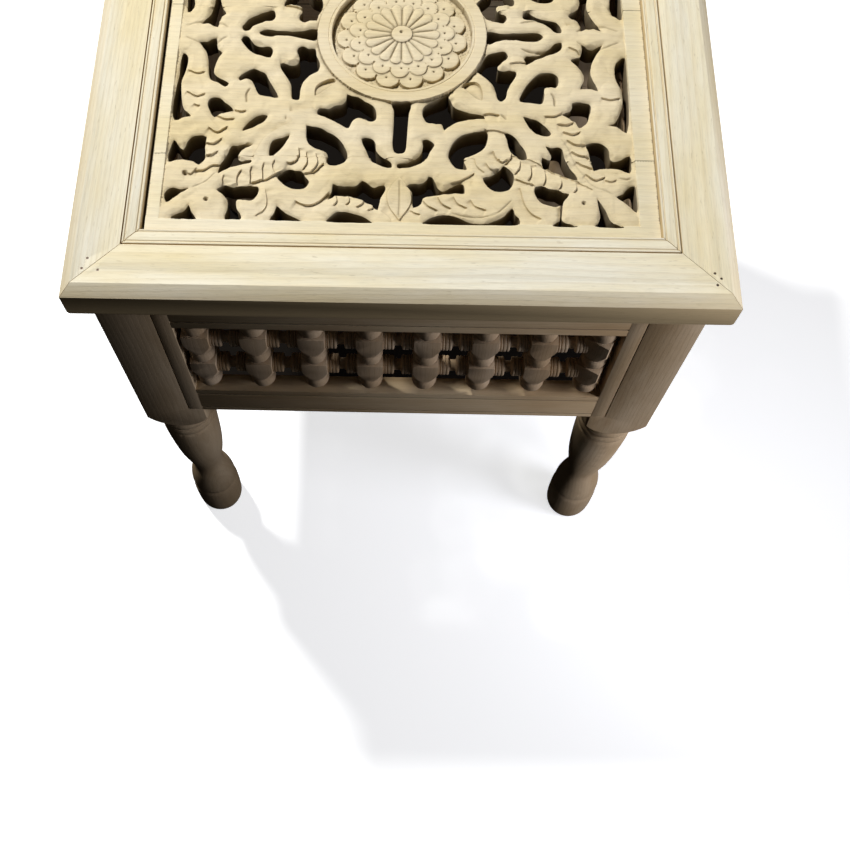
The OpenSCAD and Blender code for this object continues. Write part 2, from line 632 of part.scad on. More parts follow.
stile(270, -1);  // left_back_stile
stile(270, 1);  // left_front_stile
one_spindle(0);  // front_spindle_1
one_spindle(1);  // front_spindle_2
one_spindle(2);  // front_spindle_3
one_spindle(3);  // front_spindle_4
one_spindle(4);  // front_spindle_5
one_spindle(5);  // front_spindle_6
one_spindle(6);  // front_spindle_7
one_spindle(7);  // front_spindle_8
side_spindles(90);  // right_spindles
side_spindles(180);  // back_spindles
side_spindles(270);  // left_spindles
side_reels(0, 0);  // front_upper_reels
side_reels(90, 0);  // right_upper_reels
side_reels(180, 0);  // back_upper_reels
side_reels(270, 0);  // left_upper_reels
side_reels(0, 1);  // front_lower_reels
side_reels(90, 1);  // right_lower_reels
side_reels(180, 1);  // back_lower_reels
side_reels(270, 1);  // left_lower_reels
glue_blocks();
top_nails();
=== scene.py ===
import json
import math

import bpy
import numpy as np
from mathutils import Matrix, Vector, geometry, kdtree

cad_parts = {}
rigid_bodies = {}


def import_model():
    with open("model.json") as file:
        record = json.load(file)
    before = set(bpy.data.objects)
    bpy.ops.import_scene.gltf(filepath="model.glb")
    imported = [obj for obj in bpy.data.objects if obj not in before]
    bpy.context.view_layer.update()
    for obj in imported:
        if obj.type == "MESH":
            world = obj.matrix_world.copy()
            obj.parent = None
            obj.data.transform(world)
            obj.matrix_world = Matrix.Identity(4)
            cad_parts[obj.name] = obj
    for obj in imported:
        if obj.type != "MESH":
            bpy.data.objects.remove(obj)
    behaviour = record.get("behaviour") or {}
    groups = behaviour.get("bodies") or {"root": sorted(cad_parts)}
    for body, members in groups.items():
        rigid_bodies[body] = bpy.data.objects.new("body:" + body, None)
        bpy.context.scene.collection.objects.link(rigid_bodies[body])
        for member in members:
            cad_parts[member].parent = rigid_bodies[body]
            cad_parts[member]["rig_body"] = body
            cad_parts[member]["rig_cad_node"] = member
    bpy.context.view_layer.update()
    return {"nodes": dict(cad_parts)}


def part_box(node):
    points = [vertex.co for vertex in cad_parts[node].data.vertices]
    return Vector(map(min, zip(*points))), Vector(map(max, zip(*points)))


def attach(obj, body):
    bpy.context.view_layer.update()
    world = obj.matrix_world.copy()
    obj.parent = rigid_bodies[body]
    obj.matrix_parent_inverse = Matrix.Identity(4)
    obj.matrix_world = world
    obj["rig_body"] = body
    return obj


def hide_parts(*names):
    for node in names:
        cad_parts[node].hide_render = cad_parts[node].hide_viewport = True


bl_info = {
    "name": "Fret-carved side table",
    "version": (1, 0, 0),
    "blender": (4, 5, 0),
    "location": "View3D > Sidebar > Side table",
    "description": "Carves the panel, eases the joinery and finishes the wood of a lattice-sided table",
    "category": "Object",
}

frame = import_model()
MM = 0.001
# The sides, with the way that the grain of their boards runs.
SIDE_WAYS = {"front": "x", "right": "y", "back": "x", "left": "y"}
# Width of the panel's plain border, and how far left of the panel's middle the ring sits, in millimetres.
BORDER, RING_LEFT = 11.5, 2.4
PANEL_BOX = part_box("panel_board_middle")
PANEL_HALF = (PANEL_BOX[1].x - PANEL_BOX[0].x) / 2 / MM
PANEL_SHIFT = (PANEL_BOX[1].x + PANEL_BOX[0].x) / 2 / MM - RING_LEFT
PANEL_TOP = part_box("panel_board_front")[1].z / MM
PANEL_FOOT = PANEL_BOX[0].z / MM
# The carving's lines are in pattern millimetres, for a field of this half width inside the border.
FIELD = 166.5
CARVE_HALF = PANEL_HALF - BORDER
PATTERN = CARVE_HALF / FIELD
# The last front spindle stands askew, in degrees.
LAST_TURN = -30
# Heights of the bead lines on the rails, which painted shade darkens.
BEAD_LINES = (0.448, 0.322, 0.2955)
# The carver's flat band along every sawn edge: width in millimetres and slope.
BAND_WIDTH = 4.2
BAND_SLOPE = 0.3
# The camera's axes and place, fitted to the photo.
CAMERA_PLACE = Matrix((
    (0.999757, -0.018936, 0.011326, -0.0033),
    (0.021829, 0.923588, -0.382765, -0.5862),
    (-0.003213, 0.382920, 0.923776, 1.1424),
    (0, 0, 0, 1)))
# The fill and foot lamps are a little cooler than the key, and the foot lamp has this share of the fill.
WINDOW_LIGHT = (0.95, 0.97, 1.1)
FOOT_SHARE = 0.08
# The floor's painted shadow: half width below the table's middle, widest half width, front, back and soft
# edge.
DIM_HALF, DIM_WIDEST, DIM_FRONT, DIM_BACK, DIM_EDGE = 0.29, 0.34, -0.095, 0.56, 0.032


# User values

class WoodColours(bpy.types.PropertyGroup):
    """Colours of the bare, sun-bleached wood."""
    top: bpy.props.StringProperty(
        name="Top boards", description="Pale cream of the scrubbed top, as sRGB hex", default="EAE4D0")
    top_warm: bpy.props.StringProperty(
        name="Top boards, warm", description="Yellower streaks in the top, as sRGB hex", default="E2D4AC")
    carved: bpy.props.StringProperty(
        name="Carving", description="Cream of the carved panel, as sRGB hex", default="EBE1C6")
    side: bpy.props.StringProperty(
        name="Sides", description="Tan of the legs and rails, as sRGB hex", default="C2AB8A")
    side_warm: bpy.props.StringProperty(
        name="Sides, warm", description="Browner streaks in the sides, as sRGB hex", default="A78C67")
    late_wood: bpy.props.StringProperty(
        name="Late wood", description="Darker line that ends each year's growth, as sRGB hex",
        default="BDA67A")


class CarvingSizes(bpy.types.PropertyGroup):
    """Sizes of the carver's cuts, in metres."""
    mesh_step: bpy.props.FloatProperty(
        name="Mesh step", description="Spacing of the carved surface's points",
        default=0.95 * MM, min=0.6 * MM, max=3 * MM, unit="LENGTH")
    carved_drop: bpy.props.FloatProperty(
        name="Carved drop", description="Depth of the leaves below the border and ring",
        default=0.9 * MM, min=0, max=2 * MM, unit="LENGTH")
    ground_depth: bpy.props.FloatProperty(
        name="Ground depth", description="Depth of the punched ground round the rosette",
        default=5.6 * MM, min=2 * MM, max=6 * MM, unit="LENGTH")
    small_bevel: bpy.props.FloatProperty(
        name="Inner bevel", description="Width of the eased edge on hollow curves",
        default=1.0 * MM, min=0.3 * MM, max=3 * MM, unit="LENGTH")
    broad_bevel: bpy.props.FloatProperty(
        name="Outer bevel", description="Width of the chisel bevel on bulging curves",
        default=2.8 * MM, min=1 * MM, max=6 * MM, unit="LENGTH")


class StageSizes(bpy.types.PropertyGroup):
    """Lamps of the studio."""
    key: bpy.props.FloatProperty(
        name="Key lamp", description="Power of the lamp behind and to the left",
        default=62, min=0, unit="POWER")
    fill: bpy.props.FloatProperty(
        name="Fill lamp", description="Power of the lamp at the right", default=2.5, min=0, unit="POWER")
    sky: bpy.props.FloatProperty(
        name="Sky", description="Strength of the even light from all round", default=0.022, min=0)


# Materials

COLOUR_MIX = {"out": 2, "data_type": "RGBA"}
MULTIPLY = {**COLOUR_MIX, "blend_type": "MULTIPLY"}
# Turns that lay a pattern's length along x, y or z, a little off true as sawn boards are.
GRAIN_TURNS = {
    "x": (0.012, 0.02, 0.01),
    "y": (0.01, 0.012, math.radians(-90) + 0.012),
    "z": (0.0, math.radians(90), 0.01),
}
OLD_LATE_WOOD = "8A6F4B"


def srgb(text):
    """An sRGB hex colour as the linear values that the shaders use."""
    parts = [int(text[i:i + 2], 16) / 255 for i in (0, 2, 4)]
    return [p / 12.92 if p <= 0.04045 else ((p + 0.055) / 1.055) ** 2.4 for p in parts] + [1.0]


def new_tree(owner):
    """The empty node tree of a material or world."""
    owner.use_nodes = True
    owner.node_tree.nodes.clear()
    return owner.node_tree


def put(tree, kind, *values, out=0, stops=(), **settings):
    """Adds a node and returns one of its outputs. A kind may end with the node's operation. Values, which are
    constants or other outputs, fill its sockets in order, or by name where they are one dict. Stops are the
    places and grey levels of a ramp."""
    kind, *operation = kind.split()
    node = tree.nodes.new("ShaderNode" + kind)
    if operation:
        node.operation = operation[0]
    for name, value in settings.items():
        setattr(node, name, value)
    named = values[0] if values and isinstance(values[0], dict) else dict(enumerate(values))
    for name, value in named.items():
        if isinstance(value, bpy.types.NodeSocket):
            tree.links.new(value, node.inputs[name])
        else:
            node.inputs[name].default_value = value
    if stops:
        keys = node.color_ramp.elements
        while len(keys) < len(stops):
            keys.new(0.5)
        for key, (place, level) in zip(keys, stops):
            key.position = place
            key.color = (level, level, level, 1)
    return node.outputs[out] if len(node.outputs) else None


def grained(tree, along, stretch, detail, roughness=0.5, out="Fac"):
    """Noise drawn out along the grain. The stretch is its scale along and across the grain, per metre."""
    drawn = put(tree, "VectorMath MULTIPLY", along, (stretch[0], stretch[1], stretch[1]))
    return put(tree, "TexNoise", {"Vector": drawn, "Scale": 1.0, "Detail": detail, "Roughness": roughness},
               out=out)


def growth_line(tree, along, heart, ring_mm):
    """Share of late wood over the yearly rings, which lie round a heart line beside the board."""
    # The rings wander by a few millimetres over a hand's length of board.
    wander = grained(tree, along, (3.0, 22.0), 2.0, out="Color")
    wander = put(tree, "VectorMath SUBTRACT", wander, (0.5, 0.5, 0.5))
    bent = put(tree, "VectorMath MULTIPLY_ADD", wander, (0.0, 0.016, 0.016), along)
    flat = put(tree, "VectorMath MULTIPLY", bent, (0.0, 1.0, 1.0))
    from_heart = put(tree, "VectorMath SUBTRACT", flat, (0.0, *heart))
    radius = put(tree, "VectorMath LENGTH", from_heart, out="Value")
    year = put(tree, "Math MULTIPLY", radius, 1000.0 / ring_mm)
    part = put(tree, "Math FRACT", year)
    return put(tree, "ValToRGB", part,
               stops=[(0.0, 0.55), (0.1, 0.0), (0.55, 0.12), (0.86, 0.75), (1.0, 1.0)])


def paint_facing_shade(tree, colour, tint):
    """Painted shade by facing: the upper faces keep their colour, and bevels, edges and other tilted faces
    turn towards the tint.
    """
    facing = put(tree, "NewGeometry", out="Normal")
    up = put(tree, "SeparateXYZ", facing, out=2)
    tilt_shade = put(tree, "ValToRGB", up, stops=[(0.1, 1.0), (0.7, 0.62), (0.92, 0.0)])
    return put(tree, "Mix", {0: tilt_shade, 6: colour, 7: srgb(tint)}, **COLOUR_MIX)


def paint_bead_shade(tree, colour, high):
    """Painted shade in the bead lines, which are two millimetres wide."""
    for level in BEAD_LINES:
        off = put(tree, "Math SUBTRACT", high, level)
        off = put(tree, "Math ABSOLUTE", off)
        bead_shade = put(tree, "MapRange", off, 0.5 * MM, 1.0 * MM, 0.75, 0.0)
        colour = put(tree, "Mix", {0: bead_shade, 6: colour, 7: srgb("2E2417")}, **COLOUR_MIX)
    return colour


def carving_marks_and_shade(tree, place, colour, height):
    """The gouge cut into yellower wood, and only the planed border kept its bleached face. Painted shade and
    dirt darken the creases and the walls of the fret, and the ground round the rosette is pricked with a
    punch, with painted shade and dirt in its pits."""
    clean = put(tree, "Attribute", out="Fac", attribute_name="planed")
    cut = put(tree, "Mix", {0: clean, 6: srgb("F6F0E6"), 7: srgb("FFFFFF")}, **COLOUR_MIX)
    colour = put(tree, "Mix", {0: 1.0, 6: colour, 7: cut}, **MULTIPLY)
    # Painted shade and dirt: a dark brown in creases, at the foot of steps and petals and down the walls of
    # the fret.
    deep = put(tree, "Attribute", out="Fac", attribute_name="shade_and_dirt")
    colour = put(tree, "Mix", {0: deep, 6: colour, 7: srgb("54432A")}, **COLOUR_MIX)
    # The punch leaves pits about a millimetre and a half apart.
    ground = put(tree, "Attribute", out="Fac", attribute_name="punched")
    dots = put(tree, "TexVoronoi", {"Vector": place, "Scale": 620.0})
    pit = put(tree, "ValToRGB", dots, stops=[(0.0, 0.0), (0.45, 1.0)])
    pit = put(tree, "Math MULTIPLY", pit, ground)
    # Painted shade and dirt darken the middle of each pit.
    shade_and_grime = put(tree, "ValToRGB", dots, stops=[(0.1, 1.0), (0.34, 0.0)])
    shade_and_grime = put(tree, "Math MULTIPLY", shade_and_grime, ground)
    shade_and_grime = put(tree, "Math MULTIPLY", shade_and_grime, 0.6)
    colour = put(tree, "Mix", {0: shade_and_grime, 6: colour, 7: srgb("8A7347")}, **COLOUR_MIX)
    height = put(tree, "Math MULTIPLY_ADD", pit, 4.0, height)
    chisel = put(tree, "TexNoise", {"Vector": place, "Scale": 170.0, "Detail": 2.0})
    return colour, put(tree, "Math MULTIPLY_ADD", chisel, 1.6, height)


def wood(name, pale, warm, late, grain, ring_mm=3.4, heart=(-0.33, 0.37), polish=0.74, ring_show=0.3,
         carved=False, bleached=None, beaded=False):
    """Bare wood with growth rings about a heart line, fibres along the grain and worn, uneven bleaching."""
    mat = bpy.data.materials.new(name)
    tree = new_tree(mat)
    place = put(tree, "TexCoord", out="Object")
    along = put(tree, "Mapping", {"Vector": place, "Rotation": GRAIN_TURNS[grain]})
    line = growth_line(tree, along, heart, ring_mm)
    # Fibres are about half a millimetre wide and many times as long.
    fibre = grained(tree, along, (70.0, 1500.0), 3.0, 0.65)
    # Bleaching has left patches about as wide as a palm.
    patch = grained(tree, along, (7.0, 26.0), 4.0, 0.55)
    patch = put(tree, "ValToRGB", patch, stops=[(0.34, 0.0), (0.66, 1.0)])
    colour = put(tree, "Mix", {0: patch, 6: srgb(pale), 7: srgb(warm)}, **COLOUR_MIX)
    show = put(tree, "Math MULTIPLY", line, ring_show)
    colour = put(tree, "Mix", {0: show, 6: colour, 7: srgb(late)}, **COLOUR_MIX)
    # Faces that tilt away from up take the bleached colour, as painted shade.
    if bleached:
        colour = paint_facing_shade(tree, colour, bleached)
    high = put(tree, "SeparateXYZ", place, out=2)
    if beaded:
        colour = paint_bead_shade(tree, colour, high)
    if grain == "z":
        # Legs and other upright pieces darken towards the floor, from their full colour at 290 mm above it to
        # seven tenths at 140 mm and below.
        lower_darkening = put(tree, "MapRange", high, 0.14, 0.29, 0.7, 1.0)
        colour = put(tree, "Mix", {0: 1.0, 6: colour, 7: lower_darkening}, **MULTIPLY)
    streak = put(tree, "ValToRGB", fibre, stops=[(0.3, 0.86), (0.5, 1.0), (0.72, 1.04)])
    colour = put(tree, "Mix", {0: 0.8, 6: colour, 7: streak}, **MULTIPLY)
    # Short dark pores and hairline checks.
    pore = grained(tree, along, (120.0, 900.0), 1.0)
    pore = put(tree, "ValToRGB", pore, stops=[(0.68, 0.0), (0.78, 1.0)])
    pore = put(tree, "Math MULTIPLY", pore, 0.12 if carved else 0.3)
    colour = put(tree, "Mix", {0: pore, 6: colour, 7: srgb("8E7650")}, **COLOUR_MIX)
    height = put(tree, "Math MULTIPLY", fibre, 0.6)
    height = put(tree, "Math MULTIPLY_ADD", line, 0.0 if carved else -0.3, height)
    if carved:
        colour, height = carving_marks_and_shade(tree, place, colour, height)
    bump = put(tree, "Bump", {"Height": height, "Strength": 0.55, "Distance": 0.22 * MM})
    rough = put(tree, "MapRange", fibre, 0.0, 1.0, polish - 0.06, polish + 0.1)
    shader = put(tree, "BsdfPrincipled", {
        "Base Color": colour, "Roughness": rough, "Normal": bump, "IOR": 1.5, "Specular IOR Level": 0.3})
    put(tree, "OutputMaterial", shader)
    return mat


def nail_steel():
    """Wire nails of mild steel, gone dull brown-grey with age."""
    mat = bpy.data.materials.new("aged_nail_steel")
    tree = new_tree(mat)
    place = put(tree, "TexCoord", out="Object")
    rust = put(tree, "TexNoise", {"Vector": place, "Scale": 900.0, "Detail": 3.0})
    spots = put(tree, "ValToRGB", rust, stops=[(0.4, 0.0), (0.62, 1.0)])
    colour = put(tree, "Mix", {0: spots, 6: srgb("5B554E"), 7: srgb("4A2F1C")}, **COLOUR_MIX)
    bump = put(tree, "Bump", {"Height": rust, "Strength": 0.5, "Distance": 0.1 * MM})
    shader = put(tree, "BsdfPrincipled", {
        "Base Color": colour, "Metallic": 0.7, "Roughness": 0.55, "Normal": bump})
    put(tree, "OutputMaterial", shader)
    return mat


FINISHES = {}


def make_finishes():
    """Every finish of the table. Boards and turnings have one for each way that their grain runs."""
    c = bpy.context.scene.table_wood
    top = (c.top, c.top_warm, c.late_wood)
    side = (c.side, c.side_warm, OLD_LATE_WOOD)
    # The rails have seen more light than the legs, and beech is redder than pine.
    rail = ("CBB48F", "B2956D", OLD_LATE_WOOD)
    turned = ("BFA88A", "A58A68", OLD_LATE_WOOD)
    for way, name in (("x", "across"), ("y", "endlong")):
        # The top boards' bleached colour is painted shade on their bevels and edges.
        FINISHES["top_" + way] = wood("scrubbed_pine_" + name, *top, way, heart=(-0.275, 0.41), ring_show=0.2,
                                      bleached="C4AC80")
        FINISHES["side_" + way] = wood("planed_pine_" + name, *rail, way, heart=(-0.12, 0.62), ring_show=0.16,
                                       beaded=True)
        FINISHES["reel_" + way] = wood("turned_beech_" + name, *turned, way, heart=(-0.11, 0.49), ring_mm=2.6,
                                       ring_show=0.12)
    FINISHES["spindle"] = wood("turned_beech_upright", *turned, "z", heart=(-0.11, 0.09), ring_mm=2.6,
                               ring_show=0.12)
    FINISHES["post"] = wood("planed_pine_upright", *side, "z", heart=(-0.28, 0.11), ring_show=0.13)
    FINISHES["carved"] = wood("hand_carved_bleached_pine", c.carved, c.top_warm, c.late_wood, "x",
                              heart=(-0.42, 0.30), ring_mm=4.6, ring_show=0.14, carved=True)
    FINISHES["inner"] = wood("rough_sawn_pine", "C7AF87", "AE9268", OLD_LATE_WOOD, "x", heart=(-0.05, 0.4),
                             polish=0.85)
    FINISHES["iron"] = nail_steel()


# Shared modelling steps

def select_only(obj):
    for other in bpy.context.selected_objects:
        other.select_set(False)
    obj.hide_viewport = False
    obj.select_set(True)
    bpy.context.view_layer.objects.active = obj


def dress(obj, material):
    """Gives an object one finish."""
    if not FINISHES:
        make_finishes()
    obj.data.materials.clear()
    obj.data.materials.append(FINISHES[material])
    for polygon in obj.data.polygons:
        polygon.material_index = 0


def settle(obj, nodes, material):
    """A finished piece takes the place of its CAD nodes."""
    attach(obj, "root")
    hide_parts(*nodes)
    dress(obj, material)


def sanded_copy(node, width, material, smooth_angle=35, name=None):
    """A merged copy of a CAD node, with its edges taken off by hand sanding, takes the node's place."""
    select_only(frame["nodes"][node])
    bpy.ops.object.duplicate(linked=False)
    obj = bpy.context.active_object
    obj.name = obj.data.name = name or "eased_" + node
    obj.parent = None
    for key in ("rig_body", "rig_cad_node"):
        if key in obj:
            del obj[key]
    bpy.ops.object.mode_set(mode="EDIT")
    bpy.ops.mesh.select_all(action="SELECT")
    bpy.ops.mesh.remove_doubles(threshold=2e-6)
    bpy.ops.mesh.dissolve_limited(angle_limit=math.radians(1.0), delimit=set())
    bpy.ops.object.mode_set(mode="OBJECT")
    bevel = obj.modifiers.new("eased", "BEVEL")
    bevel.width = width
    bevel.segments = 2
    bevel.limit_method = "ANGLE"
    bevel.angle_limit = math.radians(32)
    bevel.miter_outer = "MITER_ARC"
    bpy.ops.object.modifier_apply(modifier="eased")
    bpy.ops.object.shade_smooth_by_angle(angle=math.radians(smooth_angle))
    settle(obj, [node], material)
    return obj


def turned_on_axis(obj, degrees):
    """Turns a piece about its own upright middle line, in its mesh."""
    xs = [v.co.x for v in obj.data.vertices]
    ys = [v.co.y for v in obj.data.vertices]
    middle = Matrix.Translation(((min(xs) + max(xs)) / 2, (min(ys) + max(ys)) / 2, 0))
    obj.data.transform(middle @ Matrix.Rotation(math.radians(degrees), 4, "Z") @ middle.inverted())
    obj.data.update()


# The carving's lines

# Overlapping leaf edges, in millimetres about the ring's middle: depth, reach of the lower leaf and line.
# The lower side is on the right of travel.
STEPS = [
    # Right fern, fronds of the upper spine.
    (1.4, 6, [(104, -73.5), (111.5, -73.5), (117, -69.5)]),
    (1.5, 6, [(113, -80.5), (119.5, -81), (125, -78.5)]),
    (1.5, 6, [(117, -86.5), (123, -89.5), (129.5, -87)]),
    (1.5, 7, [(119.5, -94.5), (125.5, -98.5), (133, -97.5)]),
    (1.5, 7, [(122.5, -103.5), (127.5, -107.5), (135, -108.5)]),
    (1.4, 7, [(125.5, -112), (131, -116.5), (137, -118.5)]),
    (1.3, 6, [(131, -123.5), (137.5, -128.5), (145, -126)]),
    (1.0, 5, [(144.5, -128), (148, -130), (153, -128)]),
    # Right fern, scales of the lower spine, and the ridge above them.
    (1.5, 8, [(74.5, -115.5), (78.5, -111), (79.5, -106)]),
    (1.5, 9, [(81, -124.5), (84.5, -119.5), (85.5, -113)]),
    (1.5, 9, [(90, -130), (93, -124), (93, -116)]),
    (1.5, 10, [(101, -133), (103, -127.5), (102.5, -119.5)]),
    (1.5, 10, [(112, -136), (114, -131.5), (113, -124)]),
    (1.4, 9, [(122, -139), (124.5, -135.5), (124, -130)]),
    (0.7, 4, [(80, -107.5), (92.5, -112.5), (100.5, -116.5), (108.5, -121.5), (124, -128.5), (136, -137)]),
    (1.2, 6, [(80.5, -128), (88, -131.5), (95, -133)]),
    # Right fern, fan of leaves over the round hole.
    (1.4, 6, [(66.5, -105), (69, -111), (72.5, -114), (77, -111.5)]),
    (1.0, 6, [(61, -116), (64.5, -120.5), (70.5, -119.5)]),
    (0.7, 6, [(53, -111.5), (54.5, -118.5), (60, -123.5)]),
    (1.3, 7, [(35.5, -133), (43.5, -130), (53, -123.5)]),
    # Right front leaf by the middle.
    (1.3, 7, [(16.5, -147), (20, -152.5), (27, -155.5)]),
    (1.3, 7, [(27, -144.5), (30, -150.5), (36.5, -154)]),
    (1.2, 7, [(38, -145), (41, -150.5), (47.5, -154)]),
    (1.1, 7, [(50, -147), (53.5, -152.5), (61, -155)]),
    (1.0, 5, [(7.5, -155.5), (11, -158.5), (15, -159.5)]),
    # Left fern, fronds of the upper spine.
    (1.4, 6, [(-133.5, -76), (-127.5, -80), (-120, -80)]),
    (1.5, 7, [(-138.5, -88), (-132, -91.5), (-124.5, -87.5)]),
    (1.5, 7, [(-140, -101), (-134, -102.5), (-128, -97)]),
    (1.4, 7, [(-140, -110.5), (-135.5, -112.5), (-130, -108.5)]),
    (1.5, 6, [(-145, -125), (-139, -125), (-133.5, -121), (-128, -120)]),
    (1.1, 4, [(-151.5, -127), (-148, -128.5), (-144, -123.5)]),
    (1.4, 5, [(-121, -71), (-117, -73.5), (-112, -73)]),
    # Left fern, scales of the lower spine and the branch below them.
    (1.2, 9, [(-124.5, -137), (-125, -133), (-124, -129)]),
    (1.3, 9, [(-114.5, -137), (-115, -132), (-114, -127.5), (-112, -124.5)]),
    (1.3, 8, [(-105.5, -136), (-105.5, -130.5), (-106, -125.5), (-105, -121.5)]),
    (1.3, 8, [(-96.5, -133), (-97, -127), (-97.5, -122.5), (-96.5, -118)]),
    (1.2, 7, [(-88, -126.5), (-89.5, -124), (-90.5, -119.5), (-89, -115.5)]),
    (1.8, 6, [(-105, -134), (-97, -132.5), (-92, -130), (-87, -126), (-83, -123.5)]),
    # Left fern, fan of leaves over the round hole.
    (1.6, 6, [(-80.5, -117), (-78, -117.5), (-74.5, -116), (-72, -111), (-72.5, -105.5)]),
    (1.4, 6, [(-69, -123.5), (-66, -117), (-67, -108)]),
    (1.4, 6, [(-63, -125), (-58.5, -118), (-60, -109.5)]),
    (1.5, 6, [(-68, -126), (-61.5, -124.5), (-54, -117)]),
    # Left front scroll and leaf by the middle.
    (1.6, 7, [(-72.5, -150), (-65, -153.5), (-56.5, -150.5), (-49.5, -141.5)]),
    (1.3, 7, [(-46, -153), (-43.5, -149.5), (-44.5, -144)]),
    (1.3, 7, [(-37.5, -152), (-35, -149.5), (-35.5, -144)]),
    (1.3, 6, [(-30, -154), (-26, -151.5), (-24.5, -147.5)]),
    (1.0, 6, [(-22, -157), (-19, -155), (-17, -151)]),
    (0.8, 7, [(-100, -163), (-94.5, -157.5), (-92.5, -150.5), (-94, -141)]),
    (0.9, 7, [(-78, -81.5), (-90, -89.5), (-97.5, -97), (-103, -108.5), (-104.5, -115.5)]),
    (0.9, 4, [(-113.5, -102), (-107.5, -101)]),
    # Scrolls that pass under one another.
    (1.6, 6, [(44, -48.5), (49.5, -40.5), (55, -33)]),
    (1.4, 7, [(60, -72.5), (66, -72.5), (72, -73)]),
    (1.0, 7, [(60, -86.5), (66.5, -87), (75.5, -88)]),
    (1.3, 6, [(-62, -70), (-70, -71), (-80, -73)]),
    (1.3, 7, [(-77, -24), (-84, -26.5), (-90, -28)]),
    (1.2, 7, [(80, -26), (88, -25), (94, -24)]),
    (1.2, 6, [(124, -10), (130, -13), (133, -16)]),
    (1.3, 6, [(-151, -67), (-148.5, -68.5), (-146, -69)]),
    (1.2, 6, [(146, -56), (153, -58), (160, -56)]),
    (1.2, 6, [(-158, -36), (-151, -39), (-145, -38)]),
    (1.2, 6, [(-157, -56), (-150, -60), (-143, -58)]),
    (1.2, 7, [(85, -135.5), (87, -147), (91, -155.5), (99, -161.5)]),
    (1.0, 5, [(-5, -165), (-9, -160), (-13, -157)]),
    # Pointed leaves at the middle of each border.
    (0.8, 5, [(0, -129), (-5, -135), (-8.5, -143), (-7, -153), (0, -165)]),
    (0.8, 5, [(0, -165), (7, -153), (8.5, -143), (5, -135), (0, -129)]),
]

# V cuts with both sides alike: width, depth and line.
GROOVES = [
    (1.3, 0.7, [(0, -131), (0.3, -146), (0, -163)]),
    (1.4, 0.7, [(130, -4), (138, -9), (150, -10), (163, -5)]),
    (1.4, 0.7, [(-130, -4), (-138, -9), (-150, -10), (-163, -5)]),
    (1.2, 0.45, [(114.5, -93), (120.5, -102.5), (124, -112.5), (128.5, -122), (136, -133), (150.5, -140)]),
    (1.0, 0.5, [(-129.5, -126), (-135.5, -134), (-147, -140.5)]),
    (1.1, 0.7, [(35.5, -157), (47.5, -160.5), (58.5, -160.5), (68.5, -157), (79.5, -146)]),
    (1.2, 1.1, [(-83, -76), (-83, -81)]),
    (1.2, 1.1, [(72, -72), (75, -75), (77, -78)]),
    (1.3, 1.1, [(88, -12), (100, -14.6), (110, -13), (118, -8)]),
    (1.3, 1.1, [(109, -52), (112, -58), (112, -66)]),
    (1.3, 1.1, [(-110, -52), (-113, -58), (-112, -66)]),
    (1.2, 1.0, [(94, -50), (98, -44), (104, -40)]),
    (1.2, 1.0, [(26, -46.5), (22, -54.5), (16, -60)]),
    (1.2, 1.0, [(154, -126), (160, -127.5), (164, -126)]),
    (1.2, 0.9, [(-98, -49), (-102, -45), (-108, -42)]),
]

# Hollows scooped with a gouge: middle, half sizes, turn in degrees and depth.
SCOOPS = [
    (88, -18, 9, 4, -10, 0.9), (52, -58, 6, 9, 25, 1.8), (-53, -55, 5.5, 9, -20, 1.8),
    (110, -62, 8, 6, 20, 1.0), (-113, -60, 8, 6, -20, 1.0), (150, -88, 9, 5, -20, 1.2),
    (-150, -87, 9, 5, 20, 1.2), (152, -30, 5, 14, 4, 0.8), (-152, -30, 5, 14, -4, 0.8),
    (92, -36, 7, 9, 35, 1.0), (-94, -38, 7, 9, -35, 1.0), (50, -128, 7, 7, 0, 1.1),
    (-52, -127, 7, 7, 0, 1.1), (93, -155, 7, 9, -20, 1.2), (-93, -153, 7, 9, 20, 1.1),
    (106, -158, 5, 8, 0, 0.8), (26, -121, 8, 5, 20, 0.9), (-26, -123, 8, 5, -20, 0.9),
    (127, -154, 8, 8, 0, -0.6), (-134, -153, 8, 8, 0, -0.6), (152, -129, 8, 6, 10, -0.4),
    (-152, -129, 8, 7, 0, -0.5), (146, -154, 5, 9, 40, 0.9), (-146, -146, 4, 9, -50, 0.9),
    (0, -148, 6, 12, 0, -0.5), (146, -3, 12, 6, 0, -0.5), (-146, -3, 12, 6, 0, -0.5),
    (71, -46, 6, 10, 20, 1.0), (-72, -44, 6, 10, -20, 1.0), (132, -69, 5, 7, 0, 0.8),
    (-132, -70, 5, 6, 0, 0.8),
]

# Pockets dug beside the ring: depth, and the outline of the floor.
POCKETS = [
    (3.2, [(-63, -58), (-62.5, -51.5), (-58.5, -46), (-51, -42.5), (-48.5, -45), (-55, -51.5), (-60, -56.5)]),
    (3.0, [(45.5, -46.5), (49.5, -43), (54.5, -43.5), (58, -47), (59.5, -54), (59, -60), (53.5, -56),
           (48, -51)]),
]

# Holes punched in the flower middles and the rosette's button: place and radius.
DOTS = [(-152, -128, 1.7), (-135, -150, 1.6), (129, -148, 1.5)]
BUTTON_HOLE = (-0.5, 1.6, 1.2)
# The back half of the carving mirrors the front half.
FLIPS = (1, -1)

# The rosette's rows: number of petals, radius of their roots, reach beyond it and turn in degrees.
OUTER_PETALS = (15, 41.0, 7.8, -80.0)
INNER_PETALS = (15, 32.0, 7.6, -68.0)
FLUTES = (18, 23.5, 4.6, 0.0)
RING_IN, RING_OUT = 52.5, 63.6
BUTTON = 8.0
OUTER_LEVEL, INNER_LEVEL, FLOWER_LEVEL = -2.9, -1.7, -0.3
BORDER_AT = FIELD + 0.05

# Facets that the gouge left on the leaves: number, tilt, lift and most height either way.
FACETS, FACET_TILT, FACET_LIFT, FACET_LIMIT = 900, 0.045, 0.02, 0.2
